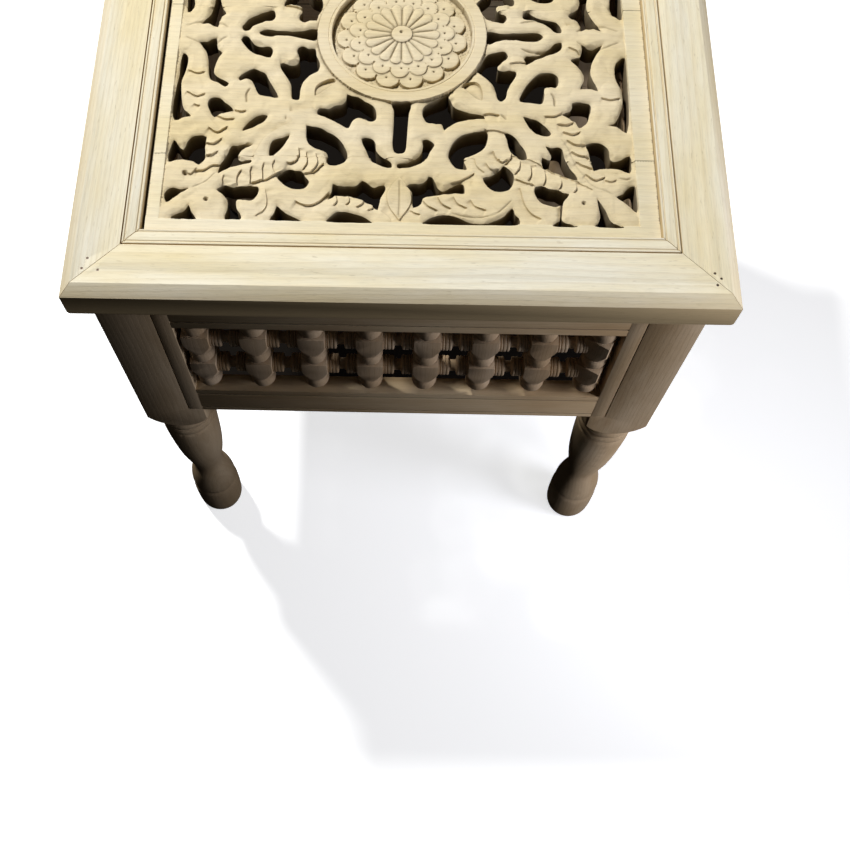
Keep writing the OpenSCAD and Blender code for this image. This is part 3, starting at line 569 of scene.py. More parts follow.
# Leaf edges: how far the ends fade in, half width of the slope, height and reach of the curled lip, drop for
# each millimetre of depth and reach of the painted shade.
STEP_TAPER, STEP_SOFT, LIP_HEIGHT, LIP_REACH, STEP_DROP, CREASE_REACH = 1.8, 0.2, 0.45, 5, 1.15, 0.45
# Dip of the leaves beside the ring, and slope of the chisel bevels.
RING_DIP, BEVEL_SLOPE = 1.1, 0.66
# Kinds of outline point: on a sawn fret edge, or on the board's own joint or rim.
SAWN, RIM = 0, 1
# Rows of points down the walls of the fret, as shares of the way to the underside, and the painted shade on
# them, darkest at the underside.
WALL_LEVELS = (0.012, 0.3, 1.0)
WALL_SHADE = (0.5, 0.8, 1.0)


def petal_edge(row, angle):
    """Distance from the middle to the scalloped edge of a row of petals."""
    count, at, r, turn = row
    return at + r * np.sqrt(np.abs(np.cos(count * np.radians(angle - turn) / 2)))


def petal_dots():
    rows = []
    for count, at, _, turn in (OUTER_PETALS, INNER_PETALS):
        for i in range(count):
            a = math.radians(turn + i * 360 / count + 2 * math.sin(5 * i + at))
            reach = at + 0.6 * math.sin(3 * i)
            rows.append((reach * math.cos(a), reach * math.sin(a), 0.85))
    return rows


def curve_part(a, b, c, d, t):
    """Points on the smooth curve from b to c, where a and d lie before and after them."""
    return 0.5 * (2 * b + (c - a) * t + (2 * a - 5 * b + 4 * c - d) * t ** 2
                  + (3 * b - a - 3 * c + d) * t ** 3)


def bow(points, step):
    """A smooth line through a few points, at even steps."""
    p = np.array(points, float)
    p = np.vstack([2 * p[0] - p[1], p, 2 * p[-1] - p[-2]])
    out = []
    for i in range(1, len(p) - 2):
        n = max(2, int(np.linalg.norm(p[i + 1] - p[i]) / step))
        t = np.linspace(0, 1, n, endpoint=False)[:, None]
        out.append(curve_part(p[i - 1], p[i], p[i + 1], p[i + 2], t))
    out.append(p[-2][None, :])
    return np.vstack(out)


def ripple(x, y, length, seed):
    """A smooth wandering value from -1 to 1 with humps about one length apart."""
    total = np.zeros_like(x)
    for i in range(5):
        a = seed * 1.7 + i * 2.399
        k = 2 * math.pi / (length * (0.8 + 0.23 * i))
        total += np.sin(k * (x * math.cos(a) + y * math.sin(a)) + seed * 3.1 + i * 1.9)
    return total / 3.2


def near_line(x, y, line):
    """Distance, side (positive on the left) and place along a line for every point."""
    best = np.full(len(x), 1e9)
    side = np.zeros(len(x))
    at = np.zeros(len(x))
    gone = 0.0
    for a, b in zip(line[:-1], line[1:]):
        d = b - a
        size = float(np.hypot(*d))
        t = np.clip(((x - a[0]) * d[0] + (y - a[1]) * d[1]) / size ** 2, 0, 1)
        px, py = x - a[0] - t * d[0], y - a[1] - t * d[1]
        far = np.hypot(px, py)
        closer = far < best
        best = np.where(closer, far, best)
        side = np.where(closer, d[0] * py - d[1] * px, side)
        at = np.where(closer, gone + t * size, at)
        gone += size
    return best, np.sign(side), at, gone


def ease(t):
    t = np.clip(t, 0, 1)
    return t * t * (3 - 2 * t)


# Outlines and points

def foot_loops(node):
    """Closed outlines of a board's underside, in millimetres, with the wood on their left."""
    mesh = frame["nodes"][node].data
    flat = np.empty(len(mesh.vertices) * 3)
    mesh.vertices.foreach_get("co", flat)
    co = flat.reshape(-1, 3) / MM
    keys, index = np.unique(np.round(co, 3), axis=0, return_inverse=True)
    index = index.reshape(-1)
    corners = np.empty(len(mesh.loop_triangles) * 3, np.int32)
    mesh.loop_triangles.foreach_get("vertices", corners)
    tris = index[corners.reshape(-1, 3)]
    low = (keys[tris][:, :, 2] < PANEL_FOOT + 0.01).all(axis=1)
    ahead = {}
    seen = set()
    for a, b, c in tris[low]:
        for u, v in ((a, b), (b, c), (c, a)):
            seen.add((int(u), int(v)))
    for u, v in seen:
        if (v, u) not in seen:
            ahead[v] = u
    loops = []
    while ahead:
        start, nxt = ahead.popitem()
        chain = [start]
        while nxt != start:
            chain.append(nxt)
            nxt = ahead.pop(nxt)
        loops.append(keys[chain][:, :2])
    return loops


def flowing(loop, box, step):
    """A loop resampled in even curves, with the board's own straight edges kept. Returns points and kinds."""
    n = len(loop)
    x0, x1, y0, y1 = box

    def rim(p, q):
        return (any(abs(p[0] - x) < 0.02 and abs(q[0] - x) < 0.02 for x in (x0, x1))
                or any(abs(p[1] - y) < 0.02 and abs(q[1] - y) < 0.02 for y in (y0, y1)))

    straight = [rim(loop[i], loop[(i + 1) % n]) for i in range(n)]
    sharp = []
    for i in range(n):
        u, v = loop[i] - loop[i - 1], loop[(i + 1) % n] - loop[i]
        bend = abs(math.degrees(math.atan2(u[0] * v[1] - u[1] * v[0], u @ v)))
        sharp.append(bend > 62 or straight[i] or straight[i - 1])
    points, kinds = [], []
    for i in range(n):
        b, c = loop[i], loop[(i + 1) % n]
        a = b if sharp[i] else loop[i - 1]
        d = c if sharp[(i + 1) % n] else loop[(i + 2) % n]
        size = np.linalg.norm(c - b)
        m = max(1, int(round(size / (2.0 if straight[i] else step))))
        t = np.linspace(0, 1, m, endpoint=False)[:, None]
        points.append(b + (c - b) * t if straight[i] else curve_part(a, b, c, d, t))
        kinds += [RIM if straight[i] else SAWN] * m
    return np.vstack(points), np.array(kinds)


def bulge(points, reach=4.0):
    """How much the wood bulges outwards at each outline point, from -1 in a hollow to 1 on a nose."""
    size = np.linalg.norm(np.roll(points, -1, 0) - points, axis=1).mean()
    k = max(1, int(reach / size))
    before = points - np.roll(points, k, 0)
    after = np.roll(points, -k, 0) - points
    turn = np.degrees(np.arctan2(before[:, 0] * after[:, 1] - before[:, 1] * after[:, 0],
                                 (before * after).sum(1)))
    return np.clip(turn / 55, -1, 1)


def evened(values, reach):
    """Values along a closed outline, each made the mean of its neighbours."""
    return sum(np.roll(values, k) for k in range(-reach, reach + 1)) / (2 * reach + 1)


def inside_loops(x, y, loops):
    """Even-odd test of points against closed loops, loop by loop."""
    odd = np.zeros(len(x), bool)
    for loop in loops:
        lo, hi = loop.min(0), loop.max(0)
        pick = np.nonzero((x > lo[0]) & (x < hi[0]) & (y > lo[1]) & (y < hi[1]))[0]
        if not len(pick):
            continue
        for chunk in np.array_split(pick, max(1, len(pick) * len(loop) // 4000000)):
            px, py = x[chunk][:, None], y[chunk][:, None]
            a, b = loop, np.roll(loop, -1, 0)
            cross = (a[:, 1] > py) != (b[:, 1] > py)
            rise = np.where(np.abs(b[:, 1] - a[:, 1]) < 1e-12, 1e-12, b[:, 1] - a[:, 1])
            at = a[:, 0] + (py - a[:, 1]) * (b[:, 0] - a[:, 0]) / rise
            odd[chunk] ^= (cross & (px < at)).sum(1) % 2 == 1
    return odd


def tree_of(points):
    tree = kdtree.KDTree(len(points))
    for i, p in enumerate(points):
        tree.insert((p[0], p[1], 0), i)
    tree.balance()
    return tree


def nearest(tree, x, y):
    """Distance to and number of the nearest stored point."""
    far = np.empty(len(x))
    which = np.empty(len(x), np.int64)
    for i in range(len(x)):
        _, j, d = tree.find((x[i], y[i], 0))
        far[i] = d
        which[i] = j
    return far, which


def mirrored(line, flip):
    """A line of the carving's front half, or its mirror in the back half."""
    return [(x, y * flip) for x, y in line]


def beside(line, offsets):
    """Rows of points at the given distances beside a line, positive on its left."""
    base = bow(line, 0.7)
    ahead = np.gradient(base, axis=0)
    ahead /= np.linalg.norm(ahead, axis=1)[:, None]
    side = np.c_[-ahead[:, 1], ahead[:, 0]]
    return [base + off * side for off in offsets]


def dot_rings(x, y, radii):
    """The middle of a punched hole and rings of eight points round it."""
    spots = [(x, y)]
    for r in radii:
        spots += [(x + r * math.cos(a), y + r * math.sin(a)) for a in np.linspace(0, 6.283, 9)[:-1]]
    return np.array(spots)


def carver_rows():
    """Rows of points that hold the crisp lines of the carving, in pattern millimetres."""
    rows = []
    turn = np.arange(0, 360, 1.0)
    round_way = np.c_[np.cos(np.radians(turn)), np.sin(np.radians(turn))]
    for r in (RING_IN - 0.15, RING_IN + 0.35, RING_IN + 1.9, RING_IN + 2.4, RING_IN + 2.9,
              RING_OUT - 0.5, RING_OUT + 0.1, 7.4, 8.1):
        rows.append(r * round_way)
    for row in (OUTER_PETALS, INNER_PETALS, FLUTES):
        reach = petal_edge(row, turn)
        rows += [(reach + off)[:, None] * round_way for off in (-0.6, -0.1, 0.3)]
    for i in range(FLUTES[0]):
        a = math.radians((i + 0.5) * 360 / FLUTES[0])
        r = np.arange(8.6, 24.5, 0.7)
        for off in (-0.45, 0, 0.45):
            rows.append(np.c_[r * math.cos(a) - off * math.sin(a), r * math.sin(a) + off * math.cos(a)])
    rows += [dot_rings(x, y, (0.55 * r, r, 1.35 * r)) for x, y, r in petal_dots() + [BUTTON_HOLE]]
    for flip in FLIPS:
        rows += [dot_rings(x, y * flip, (0.5 * r, r, 1.3 * r)) for x, y, r in DOTS]
        for _, _, line in STEPS:
            rows += beside(mirrored(line, flip), (-0.22, 0.22))
        for width, _, line in GROOVES:
            rows += beside(mirrored(line, flip), (-width, -width / 2, 0, width / 2, width))
        for _, line in POCKETS:
            rows += beside(mirrored(line + line[:1], flip), (-0.35, 0, 0.35))
    edge = np.arange(-FIELD, FIELD, 1.0)
    for off in (FIELD - 0.3, FIELD + 0.4):
        for s in (-off, off):
            rows += [np.c_[edge, np.full(len(edge), s)], np.c_[np.full(len(edge), s), edge]]
    return np.vstack(rows)


def thinned(points, gap):
    """The points with near neighbours left out."""
    tree = tree_of(points)
    drop = set()
    for i, p in enumerate(points):
        if i in drop:
            continue
        for _, j, _ in tree.find_range((p[0], p[1], 0), gap):
            if j > i:
                drop.add(j)
    return points[[i for i in range(len(points)) if i not in drop]]


# The relief: depth from the border, in pattern millimetres

def leaf_surface(x, y, ring_far, sawn_far, drop):
    """Leaves and scrolls: rippled, faceted by the gouge, and sloping to the sawn edges and to the ring."""
    h = -drop + 0.5 * ripple(x, y, 19, 3) + 0.22 * ripple(x, y, 8, 8)
    h -= BAND_SLOPE * np.clip(BAND_WIDTH - sawn_far, 0, None)
    cells = np.random.default_rng(11)
    cx = cells.uniform(-170, 170, FACETS)
    cy = cells.uniform(-170, 170, FACETS)
    tilt = cells.normal(0, FACET_TILT, (FACETS, 2))
    lift = cells.normal(0, FACET_LIFT, FACETS)
    _, which = nearest(tree_of(np.c_[cx, cy]), x, y)
    facet = lift[which] + tilt[which, 0] * (x - cx[which]) + tilt[which, 1] * (y - cy[which])
    h += np.clip(facet, -FACET_LIMIT, FACET_LIMIT)
    h -= RING_DIP * np.exp(-ring_far / 3.5)
    for sx, sy, a, b, turn, depth in SCOOPS:
        for flip in FLIPS:
            c, s = math.cos(math.radians(turn * flip)), math.sin(math.radians(turn * flip))
            u = (x - sx) * c + (y - sy * flip) * s
            v = -(x - sx) * s + (y - sy * flip) * c
            h -= depth * np.exp(-1.3 * ((u / a) ** 2 + (v / b) ** 2))
    return h


def leaf_points_by(x, y, leaf, line, margin):
    """Numbers of the leaves' points within the margin of a line's box."""
    lo, hi = line.min(0) - margin, line.max(0) + margin
    return np.nonzero(leaf & (x > lo[0]) & (x < hi[0]) & (y > lo[1]) & (y < hi[1]))[0]


def cut_steps(x, y, leaf, h, crease):
    """Cuts the leaf edges: the upper leaf curls up, and the lower one rises away from a dark line of painted
    shade.
    """
    for depth, length, line in STEPS:
        for flip in FLIPS:
            base = bow(mirrored(line, flip), 1.0)
            pick = leaf_points_by(x, y, leaf, base, 12)
            d, side, at, total = near_line(x[pick], y[pick], base)
            off = np.where(side * flip < 0, d, -d)
            fade = ease((at + 0.5) / STEP_TAPER) * ease((total - at + 0.5) / STEP_TAPER)
            end = np.where((at < 1e-6) | (at > total - 1e-6), np.exp(-(d / 1.2) ** 2), 1.0)
            fall = np.where(off > 0, np.clip(1 - (off - STEP_SOFT) / (1.25 * length), 0, 1), 0)
            fall = np.where(np.abs(off) < STEP_SOFT, ease((off + STEP_SOFT) / (2 * STEP_SOFT)), fall)
            lip = np.where(off < 0, LIP_HEIGHT * np.clip(1 + off / LIP_REACH, 0, 1), 0)
            h[pick] += (lip - STEP_DROP * depth * fall) * fade * end
            # Painted shade darkens the lower leaf just beside the step.
            painted_shade = np.where(off > -0.1, np.exp(-np.clip(off, 0, None) / CREASE_REACH), 0) * fade * end
            crease[pick] = np.maximum(crease[pick], min(1, 0.5 * depth) * painted_shade)


def cut_grooves(x, y, leaf, h, crease):
    """Cuts the V lines, which fade out at both ends."""
    for width, depth, line in GROOVES:
        for flip in FLIPS:
            base = bow(mirrored(line, flip), 1.0)
            pick = leaf_points_by(x, y, leaf, base, width + 1)
            d, _, at, total = near_line(x[pick], y[pick], base)
            cut = np.clip(1 - d / width, 0, 1) * (ease((at + 0.2) / 3) * ease((total - at + 0.2) / 3))
            h[pick] -= depth * cut
            # Painted shade darkens the groove.
            crease[pick] = np.maximum(crease[pick], min(1, 0.5 * depth) * cut)


def dig_pockets(x, y, leaf, h, crease):
    """Digs the pockets. Each floor is deepest on the ring's side and rises away from it."""
    for depth, line in POCKETS:
        ring_side = max(py for _, py in line)
        for flip in FLIPS:
            rim = bow(mirrored(line + line[:1], flip), 0.6)
            pick = leaf_points_by(x, y, leaf, rim, 4)
            d, _, _, _ = near_line(x[pick], y[pick], rim)
            d = np.where(inside_loops(x[pick], y[pick], [rim]), d, -d)
            risen = 0.45 * np.clip(ring_side - y[pick] * flip, 0, 12) / 12
            dug = ease((d + 0.35) / 0.7)
            h[pick] -= depth * (1 - risen) * dug
            # Painted shade darkens the pocket's floor beside its wall.
            crease[pick] = np.maximum(crease[pick], 0.55 * dug * np.exp(-np.clip(d, 0, None) / 1.6))


def rosette_surface(x, y, far, angle, ground_depth):
    """Punched ground, two rows of petals, fluted flower and button. Returns their level, the painted shade and
    dirt beside them and how far each point is within the outer petals."""
    level = -ground_depth + 0.3 * ripple(x, y, 5, 2) + 0.2 * ripple(x, y, 2.3, 9)
    outer, inner, flower = (petal_edge(row, angle) - far for row in (OUTER_PETALS, INNER_PETALS, FLUTES))
    for within, top, seed in ((outer, OUTER_LEVEL, 4), (inner, INNER_LEVEL, 6)):
        rounded = top - 0.45 * np.exp(-within / 0.7) + 0.2 * ripple(x, y, 9, seed)
        level = np.where(within > 0, rounded, level)
    count = FLUTES[0]
    phase = np.abs(((angle - FLUTES[3] + 180 / count) % (360 / count)) - 180 / count) / (180 / count)
    seam = np.clip(1 - (1 - phase) * far * math.pi / count / 0.9, 0, 1)
    roof = 0.8 * phase * ease((far - 7) / 12)
    fluted = (FLOWER_LEVEL - roof - 0.9 * seam - 0.9 * np.exp(-(far - BUTTON) / 2.5)
              - 0.4 * np.exp(-flower / 0.8))
    level = np.where(flower > 0, fluted, level)
    level = np.where(far < BUTTON, -0.1 - 0.5 * (far / BUTTON) ** 4, level)
    foot = np.where(outer < 0, outer, np.where(inner < 0, inner, np.where(flower < 0, flower, BUTTON - far)))
    foot = np.where(far < BUTTON, -9.0, foot)
    # Painted shade and dirt at the foot of each petal, in the flutes' seams and along the inside of the ring.
    shade_and_grime = np.maximum(0.85 * np.exp(foot / 0.8), 0.6 * seam * (flower > 0) * (far > BUTTON))
    shade_and_grime = np.maximum(shade_and_grime, 0.7 * np.exp((far - RING_IN) / 0.8) * (outer < 0))
    return level, shade_and_grime, outer


def punch_holes(x, y, h, crease):
    """Pricks the petals, the button and the flower middles."""
    for a, b, r in petal_dots() + [BUTTON_HOLE] + [(a, b * f, r) for a, b, r in DOTS for f in FLIPS]:
        pick = np.nonzero((np.abs(x - a) < 3) & (np.abs(y - b) < 3))[0]
        d = np.hypot(x[pick] - a, y[pick] - b)
        h[pick] -= 2.0 * r * np.clip(1.2 - d / r, 0, 1)
        # Painted shade darkens the hole.
        crease[pick] = np.maximum(crease[pick], np.clip(1.25 - d / r, 0, 1))


def carved_height(x, y, edge_far, edge_width, sawn_far, sizes):
    """The carver's surface at points in pattern millimetres, from their distances to the nearest edge of any
    kind and to the nearest sawn one. Returns its height, which is negative, and three shares that tint it:
    painted shade and dirt, punched ground and planed border."""
    far = np.hypot(x, y)
    angle = np.degrees(np.arctan2(y, x))
    border = np.maximum(np.abs(x), np.abs(y)) > BORDER_AT
    ring = (far >= RING_IN) & (far <= RING_OUT)
    rosette = far < RING_IN
    leaf = ~(border | ring | rosette)
    h, crease = np.zeros(len(x)), np.zeros(len(x))
    ring_far = np.clip(far - RING_OUT, 0, None)
    h[leaf] = leaf_surface(x, y, ring_far, sawn_far, sizes.carved_drop / MM)[leaf]
    # Painted shadow of the ring on the leaves beside it.
    crease[leaf] = 0.75 * np.exp(-ring_far / 0.9)[leaf]
    cut_steps(x, y, leaf, h, crease)
    cut_grooves(x, y, leaf, h, crease)
    dig_pockets(x, y, leaf, h, crease)
    # The ring is flat, with a fine V near its inner edge.
    vee = np.clip(1 - np.abs(far - RING_IN - 2.4) / 0.5, 0, 1)
    h[ring] = (0.05 * ripple(x, y, 14, 5) - 0.45 * vee)[ring] - 0.05
    level, shade_and_grime, petals = rosette_surface(x, y, far, angle, sizes.ground_depth / MM)
    h[rosette] = level[rosette]
    crease[rosette] = shade_and_grime[rosette]
    punch_holes(x, y, h, crease)
    # Every sawn edge has a chisel bevel.
    h -= edge_width * BEVEL_SLOPE * np.clip(1 - edge_far / edge_width, 0, 1)
    punched = np.where(rosette & (petals < -0.2), 1.0, 0.0)
    # The punched ground is a little darker all over, as painted shade and dirt.
    shade_and_dirt = np.maximum(crease, 0.18 * punched)
    return np.minimum(h, -0.02), shade_and_dirt, punched, np.where(border, 1.0, 0.0)


# The carved boards

def on_pattern(points):
    """The board's points, in millimetres, as x and y of the pattern."""
    return (points[:, 0] - PANEL_SHIFT) / PATTERN, points[:, 1] / PATTERN


def bevel_widths(px, py, noses, kinds, sizes):
    """Width of the bevel at each outline point: broad on noses, narrow in hollows, and least at the ring, the
    border and the board's own joints."""
    small, broad = sizes.small_bevel / MM, sizes.broad_bevel / MM
    widths = small + (broad - small) * ease((noses + 0.1) / 0.45)
    widths *= 1 + 0.25 * ripple(px, py, 23, 7)
    widths = np.where(np.abs(np.hypot(px, py) - RING_OUT) < 1.6, 0.7, widths)
    widths = np.where(np.maximum(np.abs(px), np.abs(py)) > FIELD - 1.7, 0.8, widths)
    return np.where(kinds == RIM, 0.3, widths)


def inner_points(box, step, rows, outlines, rim, sawn, inward, widths):
    """Points inside a board's outlines: rows on the arrises of the bevels and the flat band, the rows of the
    carving's lines, and a hexagonal grid between them."""
    rim_tree = tree_of(rim)

    def kept(points, gap):
        points = points[inside_loops(points[:, 0], points[:, 1], outlines)]
        far, _ = nearest(rim_tree, points[:, 0], points[:, 1])
        return points[far > gap]

    x0, x1, y0, y1 = box
    gx, gy = np.meshgrid(np.arange(x0 + step / 2, x1, step), np.arange(y0 + step / 2, y1, step * 0.866))
    gx = gx + (np.arange(gx.shape[0]) % 2)[:, None] * step / 2
    grid = np.c_[gx.ravel(), gy.ravel()]
    lines = np.c_[rows[:, 0] * PATTERN + PANEL_SHIFT, rows[:, 1] * PATTERN]
    lines = lines[(lines[:, 0] > x0 + 0.3) & (lines[:, 0] < x1 - 0.3)
                  & (lines[:, 1] > y0 + 0.3) & (lines[:, 1] < y1 - 0.3)]
    arris = rim + inward * widths[:, None]
    far, _ = nearest(rim_tree, arris[:, 0], arris[:, 1])
    arris = arris[sawn & (far > 0.93 * widths) & (widths > 0.6)]
    band = rim + inward * BAND_WIDTH
    far, _ = nearest(rim_tree, band[:, 0], band[:, 1])
    band = band[sawn & (far > 0.96 * BAND_WIDTH)]
    lines = kept(np.vstack([arris, thinned(band, 0.5), lines]), 0.45)
    grid = kept(grid, 0.5)
    far, _ = nearest(tree_of(lines), grid[:, 0], grid[:, 1])
    return np.vstack([lines, grid[far > 0.42]])


def filled(points, edges, outlines):
    """Flat triangles within the outlines over all the points. Returns places, triangles and each place's
    source points."""
    places, _, faces, sources, _, _ = geometry.delaunay_2d_cdt(
        [tuple(p) for p in points], edges, [], 0, 1e-6, True)
    co = np.array([tuple(v) for v in places])
    tri = np.array([f for f in faces if len(f) == 3])
    mid = co[tri].mean(1)
    return co, tri[inside_loops(mid[:, 0], mid[:, 1], outlines)], sources


def carve_board(node, name, sizes, rows):
    """One board of the panel, carved from the CAD board's own outlines."""
    lo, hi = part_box(node)
    box = (lo.x / MM, hi.x / MM, lo.y / MM, hi.y / MM)
    outlines, kinds = zip(*[flowing(loop, box, 0.8) for loop in foot_loops(node)])
    starts = np.cumsum([0] + [len(p) for p in outlines])
    spans = list(zip(starts[:-1], starts[1:]))
    rim, rim_kinds = np.vstack(outlines), np.concatenate(kinds)
    sawn = rim_kinds == SAWN
    px, py = on_pattern(rim)
    noses = np.concatenate([evened(bulge(p), 6) for p in outlines])
    widths = bevel_widths(px, py, noses, rim_kinds, sizes)
    ahead = np.vstack([np.roll(p, -1, 0) - np.roll(p, 1, 0) for p in outlines])
    ahead /= np.maximum(np.linalg.norm(ahead, axis=1), 1e-9)[:, None]
    inward = np.c_[-ahead[:, 1], ahead[:, 0]]

    # The carved face.
    inner = inner_points(box, sizes.mesh_step / MM, rows, outlines, rim, sawn, inward, widths)
    edges = [(a + i, a + (i + 1) % (b - a)) for a, b in spans for i in range(b - a)]
    co, tri, sources = filled(np.vstack([rim, inner]), edges, outlines)
    place_of = {s: i for i, shared in enumerate(sources) for s in shared}
    rim_index = np.array([place_of[i] for i in range(len(rim))])
    halfway = (rim + np.vstack([np.roll(p, -1, 0) for p in outlines])) / 2
    edge_far, which = nearest(tree_of(np.vstack([rim, halfway])), co[:, 0], co[:, 1])
    edge_far[rim_index] = 0
    sawn_far, _ = nearest(tree_of(rim[sawn]), co[:, 0], co[:, 1])
    h, shade_and_dirt, punched, planed = carved_height(*on_pattern(co), edge_far, widths[which % len(rim)], sawn_far,
                                               sizes)
    # Dirt fills the glued joints inside the border.
    shade_and_dirt[rim_index[~sawn & (np.abs(py) < 166) & (np.abs(px) > FIELD)]] = 0.9
    top = PANEL_TOP + h

    # The walls go down to the flat underside, a little uneven from the saw.
    count, n = len(co), len(rim)
    points = [np.c_[co, top]]
    faces = [tuple(t) for t in tri]
    following = np.concatenate([np.roll(np.arange(a, b), -1) for a, b in spans])
    above = rim_index
    for k, share in enumerate(WALL_LEVELS):
        z = top[rim_index] + (PANEL_FOOT - top[rim_index]) * share
        wobble = np.where(sawn, 0.16 * ripple(px, py, 9, 20 + k) * (share < 1), 0)
        points.append(np.c_[rim + inward * np.abs(wobble)[:, None], z])
        below = count + k * n + np.arange(n)
        faces += [(above[i], below[i], below[j], above[j]) for i, j in enumerate(following)]
        above = below
    _, under, sources = filled(rim, edges, outlines)
    for a, b, c in under:
        faces.append(tuple(above[sources[v][0]] for v in (a, c, b)))

    mesh = bpy.data.meshes.new(name)
    mesh.from_pydata((np.vstack(points) * MM).tolist(), [], faces)
    mesh.update()
    obj = bpy.data.objects.new(name, mesh)
    bpy.context.scene.collection.objects.link(obj)
    # The walls take painted shade, deepening towards the underside.
    for label, on_face, on_walls in (("shade_and_dirt", shade_and_dirt, WALL_SHADE), ("punched", punched, (0, 0, 0)),
                                     ("planed", planed, (0, 0, 0))):
        layer = mesh.attributes.new(label, "FLOAT", "POINT")
        layer.data.foreach_set("value", np.concatenate([on_face, np.repeat(on_walls, n)]).astype(np.float32))
    select_only(obj)
    bpy.ops.object.mode_set(mode="EDIT")
    bpy.ops.mesh.select_all(action="SELECT")
    bpy.ops.mesh.normals_make_consistent(inside=False)
    bpy.ops.object.mode_set(mode="OBJECT")
    bpy.ops.object.shade_smooth_by_angle(angle=math.radians(38))
    return obj


# The stage

def add_lamp(name, power, place, aim, size, colour=(1, 1, 1), spread=180):
    """A round lamp at one place, turned to another."""
    data = bpy.data.lights.new(name, "AREA")
    data.energy = power
    data.color = colour
    data.shape = "DISK"
    data.size = size
    data.spread = math.radians(spread)
    obj = bpy.data.objects.new(name, data)
    bpy.context.scene.collection.objects.link(obj)
    obj.location = place
    obj.rotation_euler = (Vector(place) - Vector(aim)).to_track_quat("Z", "Y").to_euler()


def studio_floor():
    """A pale floor that the camera sees whitened, with a painted shadow on it. In the camera's view the
    painted shadow shows only through the table's openings, and from other sides as a dark shape on the floor."""
    mat = bpy.data.materials.new("pale_floor")
    tree = new_tree(mat)
    place = put(tree, "TexCoord", out="Object")
    x, y = (put(tree, "SeparateXYZ", place, out=axis) for axis in (0, 1))
    # The painted shadow starts behind the front rail and widens towards the back, to fill the openings there.
    wide = put(tree, "Math MULTIPLY_ADD", y, 0.5, DIM_HALF)
    wide = put(tree, "Math MINIMUM", wide, DIM_WIDEST)
    beside_it = put(tree, "Math ABSOLUTE", x)
    beside_it = put(tree, "Math SUBTRACT", beside_it, wide)
    before = put(tree, "Math SUBTRACT", DIM_FRONT, y)
    behind = put(tree, "Math SUBTRACT", y, DIM_BACK)
    out_of_it = put(tree, "Math MAXIMUM", beside_it, before)
    out_of_it = put(tree, "Math MAXIMUM", out_of_it, behind)
    shown = put(tree, "MapRange", out_of_it, -DIM_EDGE, 0.0, interpolation_type="SMOOTHERSTEP")
    pale = put(tree, "BsdfDiffuse", srgb("EFEFED"))
    glow = put(tree, "Emission", (1, 1, 1, 1), 0.66)
    lit = put(tree, "AddShader", pale, glow)
    painted_shade = put(tree, "BsdfDiffuse", srgb("1A1714"))
    look = put(tree, "MixShader", shown, painted_shade, lit)
    # The floor throws next to no light back, which keeps the sides of the table as dark as in the photo.
    dim = put(tree, "BsdfDiffuse", srgb("171615"))
    to_camera = put(tree, "LightPath", out="Is Camera Ray")
    both = put(tree, "MixShader", to_camera, dim, look)
    put(tree, "OutputMaterial", both)
    return mat


# Operators

class TABLE_OT_stage(bpy.types.Operator):
    """Places the camera, the floor and the studio lamps"""
    bl_idname = "table.stage"
    bl_label = "Stage"

    def execute(self, context):
        scene = context.scene
        sizes = scene.table_stage
        camera_data = bpy.data.cameras.new("camera")
        camera_data.sensor_width = 36
        camera_data.lens = 45.83
        camera_data.shift_x = 0.0529
        camera_data.shift_y = 0.0045
        camera = bpy.data.objects.new("camera", camera_data)
        scene.collection.objects.link(camera)
        camera.matrix_world = CAMERA_PLACE
        scene.camera = camera

        add_lamp("key_lamp", sizes.key, (-0.95, 0.75, 2.35), (0, 0, 0.45), 0.22)
        add_lamp("fill_lamp", sizes.fill, (0.62, -0.36, 0.56), (0.1, -0.22, 0.4), 0.24, WINDOW_LIGHT)
        # A weak, narrow lamp lifts the right foot, which is lighter than the left one in the photo.
        add_lamp("foot_lamp", FOOT_SHARE * sizes.fill, (0.52, -0.55, 0.12), (0.2, -0.19, 0.12), 0.2,
                 WINDOW_LIGHT, spread=60)

        scene.world = scene.world or bpy.data.worlds.new("studio")
        tree = new_tree(scene.world)
        even = put(tree, "Background", (1, 1, 1, 1), sizes.sky)
        white = put(tree, "Background", (1, 1, 1, 1), 1.0)
        to_camera = put(tree, "LightPath", out="Is Camera Ray")
        mix = put(tree, "MixShader", to_camera, even, white)
        put(tree, "OutputWorld", mix)

        bpy.ops.mesh.primitive_plane_add(size=12, location=(0, 0, -0.5 * MM))
        floor = context.active_object
        floor.name = "floor"
        floor.data.materials.append(studio_floor())
        scene.view_settings.view_transform = "Standard"
        return {"FINISHED"}


class TABLE_OT_carved_panel(bpy.types.Operator):
    """Carves the three boards of the pierced panel"""
    bl_idname = "table.carved_panel"
    bl_label = "Carved panel"

    def execute(self, context):
        sizes = context.scene.table_carving
        rows = thinned(carver_rows(), 0.3)
        for part in ("front", "middle", "back"):
            node = "panel_board_" + part
            obj = carve_board(node, "carved_board_" + part, sizes, rows)
            settle(obj, [node], "carved")
        return {"FINISHED"}


class TABLE_OT_top_frame(bpy.types.Operator):
    """Eases the mitred top boards and the moulding round the panel"""
    bl_idname = "table.top_frame"
    bl_label = "Top frame"

    def execute(self, context):
        for side, way in SIDE_WAYS.items():
            sanded_copy("top_board_" + side, 0.5 * MM, "top_" + way)
            sanded_copy("panel_moulding_" + side, 0.3 * MM, "top_" + way,
                        name="eased_moulding_" + side)
        return {"FINISHED"}


class TABLE_OT_side_frames(bpy.types.Operator):
    """Eases the rails and stiles of the four sides"""
    bl_idname = "table.side_frames"
    bl_label = "Side frames"

    def execute(self, context):
        for side, way in SIDE_WAYS.items():
            for level in ("upper", "lower"):
                sanded_copy(side + "_" + level + "_rail", 0.35 * MM, "side_" + way)
        for node in list(frame["nodes"]):
            if node.endswith("_stile"):
                sanded_copy(node, 0.4 * MM, "post")
        return {"FINISHED"}


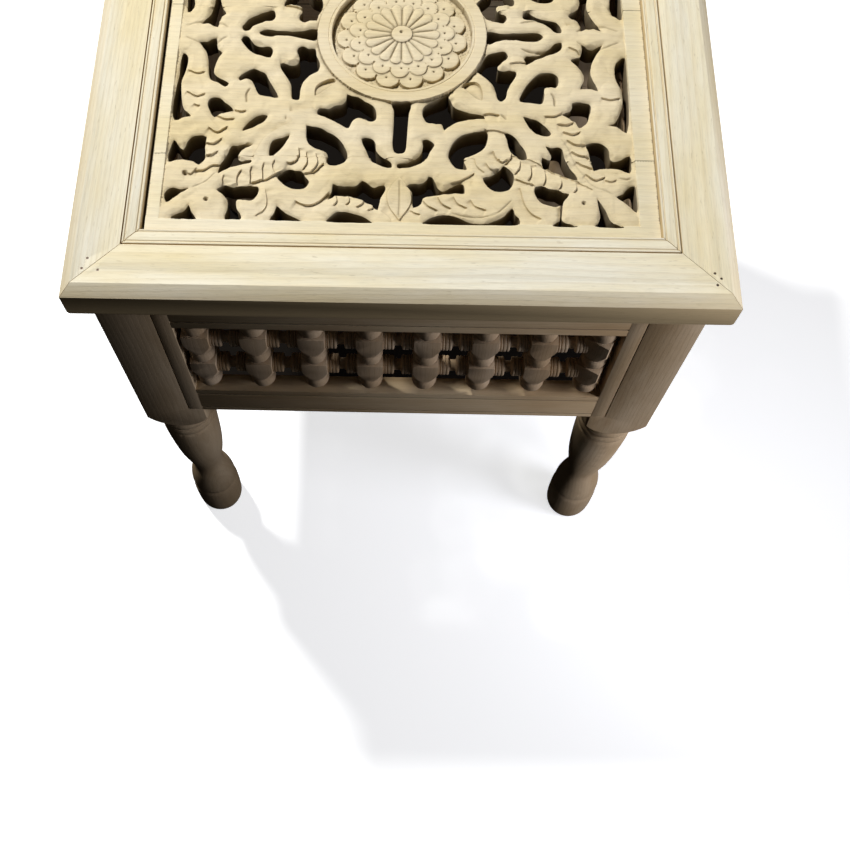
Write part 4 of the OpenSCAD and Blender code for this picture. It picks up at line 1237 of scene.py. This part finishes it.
class TABLE_OT_legs(bpy.types.Operator):
    """Finishes the square posts with turned feet"""
    bl_idname = "table.legs"
    bl_label = "Legs"

    def execute(self, context):
        for corner in ("front_left", "front_right", "back_right", "back_left"):
            sanded_copy(corner + "_leg", 0.6 * MM, "post", smooth_angle=40)
        return {"FINISHED"}


class TABLE_OT_lattice(bpy.types.Operator):
    """Finishes the spindles and reels of the lattice"""
    bl_idname = "table.lattice"
    bl_label = "Lattice"

    def execute(self, context):
        for node in list(frame["nodes"]):
            if "_spindle" in node:
                piece = sanded_copy(node, 0.5 * MM, "spindle", smooth_angle=45)
                if node == "front_spindle_8":
                    turned_on_axis(piece, LAST_TURN)
            elif node.endswith("_reels"):
                way = SIDE_WAYS[node.split("_")[0]]
                sanded_copy(node, 0.2 * MM, "reel_" + way, smooth_angle=45)
        return {"FINISHED"}


class TABLE_OT_small_parts(bpy.types.Operator):
    """Finishes the nails and the glue blocks"""
    bl_idname = "table.small_parts"
    bl_label = "Nails and blocks"

    def execute(self, context):
        dress(frame["nodes"]["top_nails"], "iron")
        dress(frame["nodes"]["glue_blocks"], "inner")
        return {"FINISHED"}


OPERATORS = (TABLE_OT_stage, TABLE_OT_carved_panel, TABLE_OT_top_frame, TABLE_OT_side_frames, TABLE_OT_legs,
             TABLE_OT_lattice, TABLE_OT_small_parts)


class TABLE_PT_panel(bpy.types.Panel):
    """Sidebar list of the table's pieces and values"""
    bl_idname = "TABLE_PT_panel"
    bl_label = "Side table"
    bl_space_type = "VIEW_3D"
    bl_region_type = "UI"
    bl_category = "Side table"

    def draw(self, context):
        layout = self.layout
        for group in (context.scene.table_wood, context.scene.table_carving, context.scene.table_stage):
            box = layout.box()
            for key in group.__annotations__:
                box.prop(group, key)
        for operator in OPERATORS:
            layout.operator(operator.bl_idname)


CLASSES = (WoodColours, CarvingSizes, StageSizes) + OPERATORS + (TABLE_PT_panel,)


def register():
    for cls in CLASSES:
        bpy.utils.register_class(cls)
    bpy.types.Scene.table_wood = bpy.props.PointerProperty(type=WoodColours)
    bpy.types.Scene.table_carving = bpy.props.PointerProperty(type=CarvingSizes)
    bpy.types.Scene.table_stage = bpy.props.PointerProperty(type=StageSizes)


def unregister():
    del bpy.types.Scene.table_stage
    del bpy.types.Scene.table_carving
    del bpy.types.Scene.table_wood
    for cls in reversed(CLASSES):
        bpy.utils.unregister_class(cls)


def main():
    register()
    for operator in OPERATORS:
        group, name = operator.bl_idname.split(".")
        getattr(getattr(bpy.ops, group), name)()


if __name__ == "__main__":
    main()
